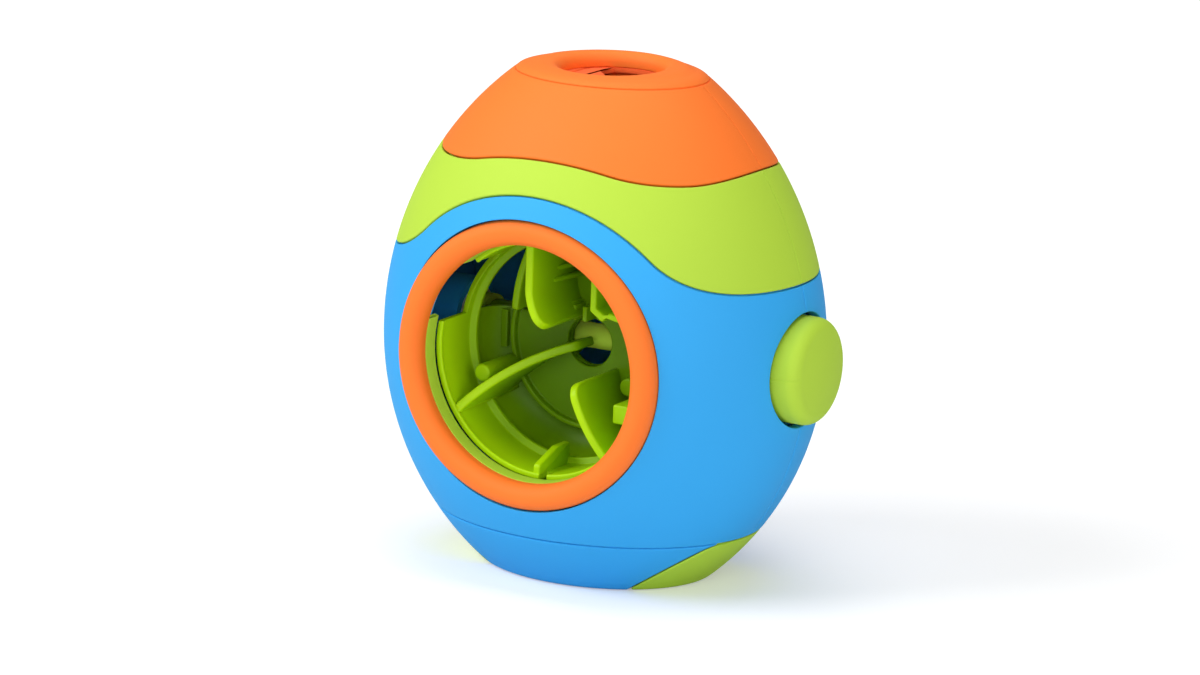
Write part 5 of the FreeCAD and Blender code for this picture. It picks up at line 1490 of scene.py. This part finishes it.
def screw_tree():
    """Pan-head screws with a turned shank, a helical thread and a cross recess, one at each point."""
    t = Tree("screws")
    for name, value in (("Head radius", 2.7), ("Head height", 1.8), ("Shank radius", 1.4), ("Length", 12.0),
                        ("Pitch", 1.1), ("Thread depth", 0.22)):
        t.put(name, "INPUT", "NodeSocketFloat", value * MM)
    t.put("Aim", "INPUT", "NodeSocketVector")
    t.put("Seed", "INPUT", "NodeSocketInt", 1)
    t.put("Finish", "INPUT", "NodeSocketMaterial")
    tip = t.node("ShaderNodeCombineXYZ", {}, {2: t.sum("MULTIPLY", "Length", -1.0)})
    top = t.node("ShaderNodeCombineXYZ", {}, {2: "Head height"})
    line = t.node("GeometryNodeCurvePrimitiveLine", {}, {"Start": tip, "End": top})
    line = t.node("GeometryNodeResampleCurve", {}, {"Curve": line, "Count": 170})
    place = t.node("GeometryNodeInputPosition", {}, {})
    level = t.node("ShaderNodeSeparateXYZ", {}, {0: place}, 2)
    near_tip = t.ramp(t.sum("ADD", level, "Length"), 0.0, 0.0016, 0.35, 1.0)
    shank = t.sum("MULTIPLY", t.sum("SUBTRACT", "Shank radius", "Thread depth"), near_tip)
    rise = t.sum("DIVIDE", level, "Head height")
    crown = t.sum("SQRT", t.sum("SUBTRACT", 1.0, t.sum("POWER", t.sum("MAXIMUM", rise, 0.0), 3.0)))
    head = t.sum("MULTIPLY", "Head radius", t.sum("ADD", 0.12, t.sum("MULTIPLY", crown, 0.88)))
    above = t.sum("GREATER_THAN", level, 0.0)
    radius = t.node("ShaderNodeMix", {}, {0: above, 2: shank, 3: head})
    round_edge = t.node("GeometryNodeCurvePrimitiveCircle", {}, {"Resolution": 28, "Radius": 1.0})
    body = t.node("GeometryNodeCurveToMesh", {}, {"Curve": line, "Profile Curve": round_edge,
                                                     "Scale": radius, "Fill Caps": True})
    spot = t.node("GeometryNodeInputPosition", {}, {})
    parts = t.group.nodes.new("ShaderNodeSeparateXYZ")
    t.group.links.new(spot, parts.inputs[0])
    x, y, z = parts.outputs
    turn = t.sum("DIVIDE", t.sum("ARCTAN2", y, x), 2 * math.pi)
    phase = t.sum("FRACT", t.sum("SUBTRACT", t.sum("DIVIDE", z, "Pitch"), turn))
    ridge = t.ramp(t.sum("ABSOLUTE", t.sum("SUBTRACT", phase, 0.5)), 0.0, 0.36, 1.0, 0.0, "SMOOTHSTEP")
    cover = t.sum("MULTIPLY", t.sum("LESS_THAN", z, -0.0008), t.ramp(t.sum("ADD", z, "Length"), 0.0, 0.002))
    push = t.sum("MULTIPLY", t.sum("MULTIPLY", ridge, "Thread depth"), cover)
    outward = t.node("ShaderNodeVectorMath", {"operation": "NORMALIZE"},
                     {0: t.node("ShaderNodeCombineXYZ", {}, {0: x, 1: y})})
    offset = t.node("ShaderNodeVectorMath", {"operation": "SCALE"}, {0: outward, 3: push})
    body = t.node("GeometryNodeSetPosition", {}, {"Geometry": body, "Offset": offset})
    arm = t.sum("MULTIPLY", "Head radius", 1.25)
    slot = t.sum("MULTIPLY", "Head radius", 0.26)
    high = t.sum("MULTIPLY", "Head height", 1.3)
    lift = t.node("ShaderNodeCombineXYZ", {}, {2: t.sum("MULTIPLY", "Head height", 1.1)})
    screw = body
    for sides in ((arm, slot), (slot, arm)):
        size = t.node("ShaderNodeCombineXYZ", {}, {0: sides[0], 1: sides[1], 2: high})
        cube = t.node("GeometryNodeMeshCube", {}, {"Size": size})
        bar = t.node("GeometryNodeTransform", {}, {"Geometry": cube, "Translation": lift})
        screw = t.node("GeometryNodeMeshBoolean", {"operation": "DIFFERENCE", "solver": "EXACT"},
                       {"Mesh 1": screw, "Mesh 2": bar})
    spin = t.node("FunctionNodeRandomValue", {"data_type": "FLOAT"}, {"Max": 6.2832, "Seed": "Seed"}, 1)
    own = t.node("FunctionNodeAxisAngleToRotation", {}, {"Axis": (0.0, 0.0, 1.0), "Angle": spin})
    aim = t.node("FunctionNodeEulerToRotation", {}, {0: "Aim"})
    pose = t.node("FunctionNodeRotateRotation", {"rotation_space": "LOCAL"}, {0: aim, 1: own})
    points = t.node("GeometryNodeMeshToPoints", {}, {"Mesh": "Geometry"})
    placed = t.node("GeometryNodeInstanceOnPoints", {},
                    {"Points": points, "Instance": screw, "Rotation": pose})
    t.finish(placed, "Finish")
    return t.group


def grown(name, spots, tree, values):
    """Plain mesh object that a tree grows from points."""
    mesh = bpy.data.meshes.new(name)
    mesh.from_pydata([Vector(spot) * MM for spot in spots], [], [])
    piece = bpy.data.objects.new(name, mesh)
    bpy.context.scene.collection.objects.link(piece)
    modifier = piece.modifiers.new(tree.name, "NODES")
    modifier.node_group = tree
    for item in tree.interface.items_tree:
        if item.item_type == "SOCKET" and item.in_out == "INPUT" and item.name in values:
            modifier[item.identifier] = values[item.name]
    apply_modifiers(piece)
    if not piece.data.polygons:
        raise RuntimeError("nothing grew for " + name)
    return piece


class FEEDER_OT_screws(bpy.types.Operator):
    """Drive the screws of shell, base, ring, maze, lid and weight cover"""
    bl_idname = "feeder.screws"
    bl_label = "Screws"

    def execute(self, context):
        tree = screw_tree()
        rearward, up, down = (-math.pi / 2, 0.0, 0.0), (0.0, 0.0, 0.0), (math.pi, 0.0, 0.0)
        ring = [(RING_SCREWS_R * math.cos(a), -41.2, AXIS_Z + RING_SCREWS_R * math.sin(a))
                for a in (math.radians(30 + 60 * k) for k in range(6))]
        shell = [(x, 22.0, z) for x, z in SHELL_SCREWS]
        base = [(x, y, 2.8) for x, y in BASE_SCREWS]
        maze = [(x, -5.0, AXIS_Z + h) for x, h in MAZE_SCREWS]
        deck = [(x, y, 130.2) for x in (-36.33, 36.33) for y in (-20.62, 20.62)]
        cover = [(x, y, 14.95) for x, y in COVER_SCREWS]
        sets = (("ring_screws", ring, rearward, 6.8, "housing"),
                ("shell_screws", shell, rearward, 33.0, "housing"),
                ("base_screws", base, down, 21.9, "housing"),
                ("insert_screws", maze, rearward, 7.1, "tumbler"),
                ("deck_screws", deck, down, 4.0, "lid"),
                ("cover_screws", cover, up, 8.7, "housing"))
        for number, (name, spots, aim, length, body) in enumerate(sets):
            piece = grown(name + "_driven", spots, tree,
                          {"Length": length * MM, "Aim": aim, "Seed": number + 1,
                           "Finish": bpy.data.materials["steel"]})
            finish_object(piece, body, "steel", [name])
        return {"FINISHED"}


class FEEDER_OT_stage(bpy.types.Operator):
    """Lay the pale floor, hang the soft lamps and set the camera"""
    bl_idname = "feeder.stage"
    bl_label = "Stage"

    def execute(self, context):
        scene = context.scene
        scene.view_settings.view_transform = "Standard"
        mesh = bpy.data.meshes.new("floor")
        reach = 6.0
        mesh.from_pydata([(-reach, -reach, 0), (reach, -reach, 0), (reach, reach, 0), (-reach, reach, 0)], [],
                         [(0, 1, 2, 3)])
        floor = bpy.data.objects.new("floor", mesh)
        scene.collection.objects.link(floor)
        f = Finish("floor_white")
        paper = f.noise(f.place(), 90.0, 2.0)
        pale = f.blend(paper, (0.8, 0.8, 0.8), (0.815, 0.815, 0.815))
        white = f.node("ShaderNodeBsdfDiffuse", {}, {"Color": pale})
        away = f.wire("ShaderNodeVectorMath", {"operation": "LENGTH"}, {0: f.place()}, "Value")
        lift = f.blend((away / 1.5 - 0.1).clamped(), (0.3, 0.3, 0.3), (0.82, 0.82, 0.82))
        glow = f.node("ShaderNodeEmission", {}, {"Color": lift, "Strength": 1.0})
        both = f.node("ShaderNodeAddShader", {}, {})
        f.tree.links.new(white.outputs[0], both.inputs[0])
        f.tree.links.new(glow.outputs[0], both.inputs[1])
        seen = f.wire("ShaderNodeLightPath", {}, {}, "Is Camera Ray")
        pick = f.node("ShaderNodeMixShader", {}, {0: seen})
        f.tree.links.new(white.outputs[0], pick.inputs[1])
        f.tree.links.new(both.outputs[0], pick.inputs[2])
        f.tree.links.new(pick.outputs[0], f.end.inputs["Surface"])
        mesh.materials.append(f.material)

        world = bpy.data.worlds.new("studio")
        scene.world = world
        world.use_nodes = True
        tree = world.node_tree
        tree.nodes.clear()
        out = tree.nodes.new("ShaderNodeOutputWorld")
        back = tree.nodes.new("ShaderNodeBackground")
        path = tree.nodes.new("ShaderNodeLightPath")
        level = tree.nodes.new("ShaderNodeMapRange")
        level.inputs["To Min"].default_value = 0.3
        level.inputs["To Max"].default_value = 1.0
        tree.links.new(path.outputs["Is Camera Ray"], level.inputs["Value"])
        tree.links.new(level.outputs[0], back.inputs["Strength"])
        tree.links.new(back.outputs[0], out.inputs["Surface"])

        def lamp(name, place, size, power, target=(0, 0, 0.08)):
            data = bpy.data.lights.new(name, "AREA")
            data.shape = "RECTANGLE"
            data.size, data.size_y = size
            data.energy = power
            o = bpy.data.objects.new(name, data)
            scene.collection.objects.link(o)
            aim = Vector(target) - Vector(place)
            turn = aim.to_track_quat("-Z", "Y").to_matrix().to_4x4()
            o.matrix_world = Matrix.Translation(Vector(place)) @ turn

        lamp("key_left", (-0.85, -0.85, 0.95), (0.8, 0.8), 14.0)
        lamp("front_soft", (0.5, -1.5, 0.6), (1.0, 0.8), 6.0)
        lamp("right_soft", (1.4, -0.7, 0.5), (0.8, 1.0), 7.0)
        lamp("overhead", (0.0, 0.1, 1.4), (1.1, 0.9), 9.0)

        s = settings()
        turn, rise = s.camera_turn, s.camera_rise
        back_way = Vector((math.sin(turn) * math.cos(rise), -math.cos(turn) * math.cos(rise), math.sin(rise)))
        right = Vector((math.cos(turn), math.sin(turn), 0))
        up = back_way.cross(right)
        target = Vector((0, 0, LOOK_AT_Z)) + right * LOOK_ASIDE
        roll = s.camera_roll
        right, up = right * math.cos(roll) + up * math.sin(roll), up * math.cos(roll) - right * math.sin(roll)
        data = bpy.data.cameras.new("camera")
        data.sensor_width = 36.0
        data.lens = FOCAL_PIXELS * data.sensor_width / PHOTO_WIDTH
        data.clip_start = 0.05
        data.clip_end = 50.0
        camera = bpy.data.objects.new("camera", data)
        rows = Matrix((right, up, back_way)).transposed()
        camera.matrix_world = Matrix.Translation(target + back_way * s.camera_away) @ rows.to_4x4()
        scene.collection.objects.link(camera)
        scene.camera = camera
        return {"FINISHED"}


class FEEDER_PT_panel(bpy.types.Panel):
    """Sizes, colours and build steps of the feeder"""
    bl_label = "Feeder"
    bl_idname = "FEEDER_PT_panel"
    bl_space_type = "VIEW_3D"
    bl_region_type = "UI"
    bl_category = "Feeder"

    def draw(self, context):
        for name in FeederSettings.__annotations__:
            self.layout.prop(context.scene.feeder, name)
        for step in STEPS:
            self.layout.operator(step.bl_idname)


STEPS = (FEEDER_OT_stage, FEEDER_OT_finishes, FEEDER_OT_cap, FEEDER_OT_collar, FEEDER_OT_body, FEEDER_OT_base,
         FEEDER_OT_knobs, FEEDER_OT_ring, FEEDER_OT_bowl, FEEDER_OT_maze, FEEDER_OT_fill,
         FEEDER_OT_screws)
CLASSES = (FeederSettings,) + STEPS + (FEEDER_PT_panel,)


def register():
    """Add the settings, the steps and the panel."""
    for item in CLASSES:
        bpy.utils.register_class(item)
    bpy.types.Scene.feeder = bpy.props.PointerProperty(type=FeederSettings)


def unregister():
    """Take them away again."""
    del bpy.types.Scene.feeder
    for item in reversed(CLASSES):
        bpy.utils.unregister_class(item)


def main():
    """Build the feeder step by step."""
    register()
    for step in STEPS:
        group, name = step.bl_idname.split(".")
        getattr(getattr(bpy.ops, group), name)()
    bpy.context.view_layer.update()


if __name__ == "__main__":
    main()
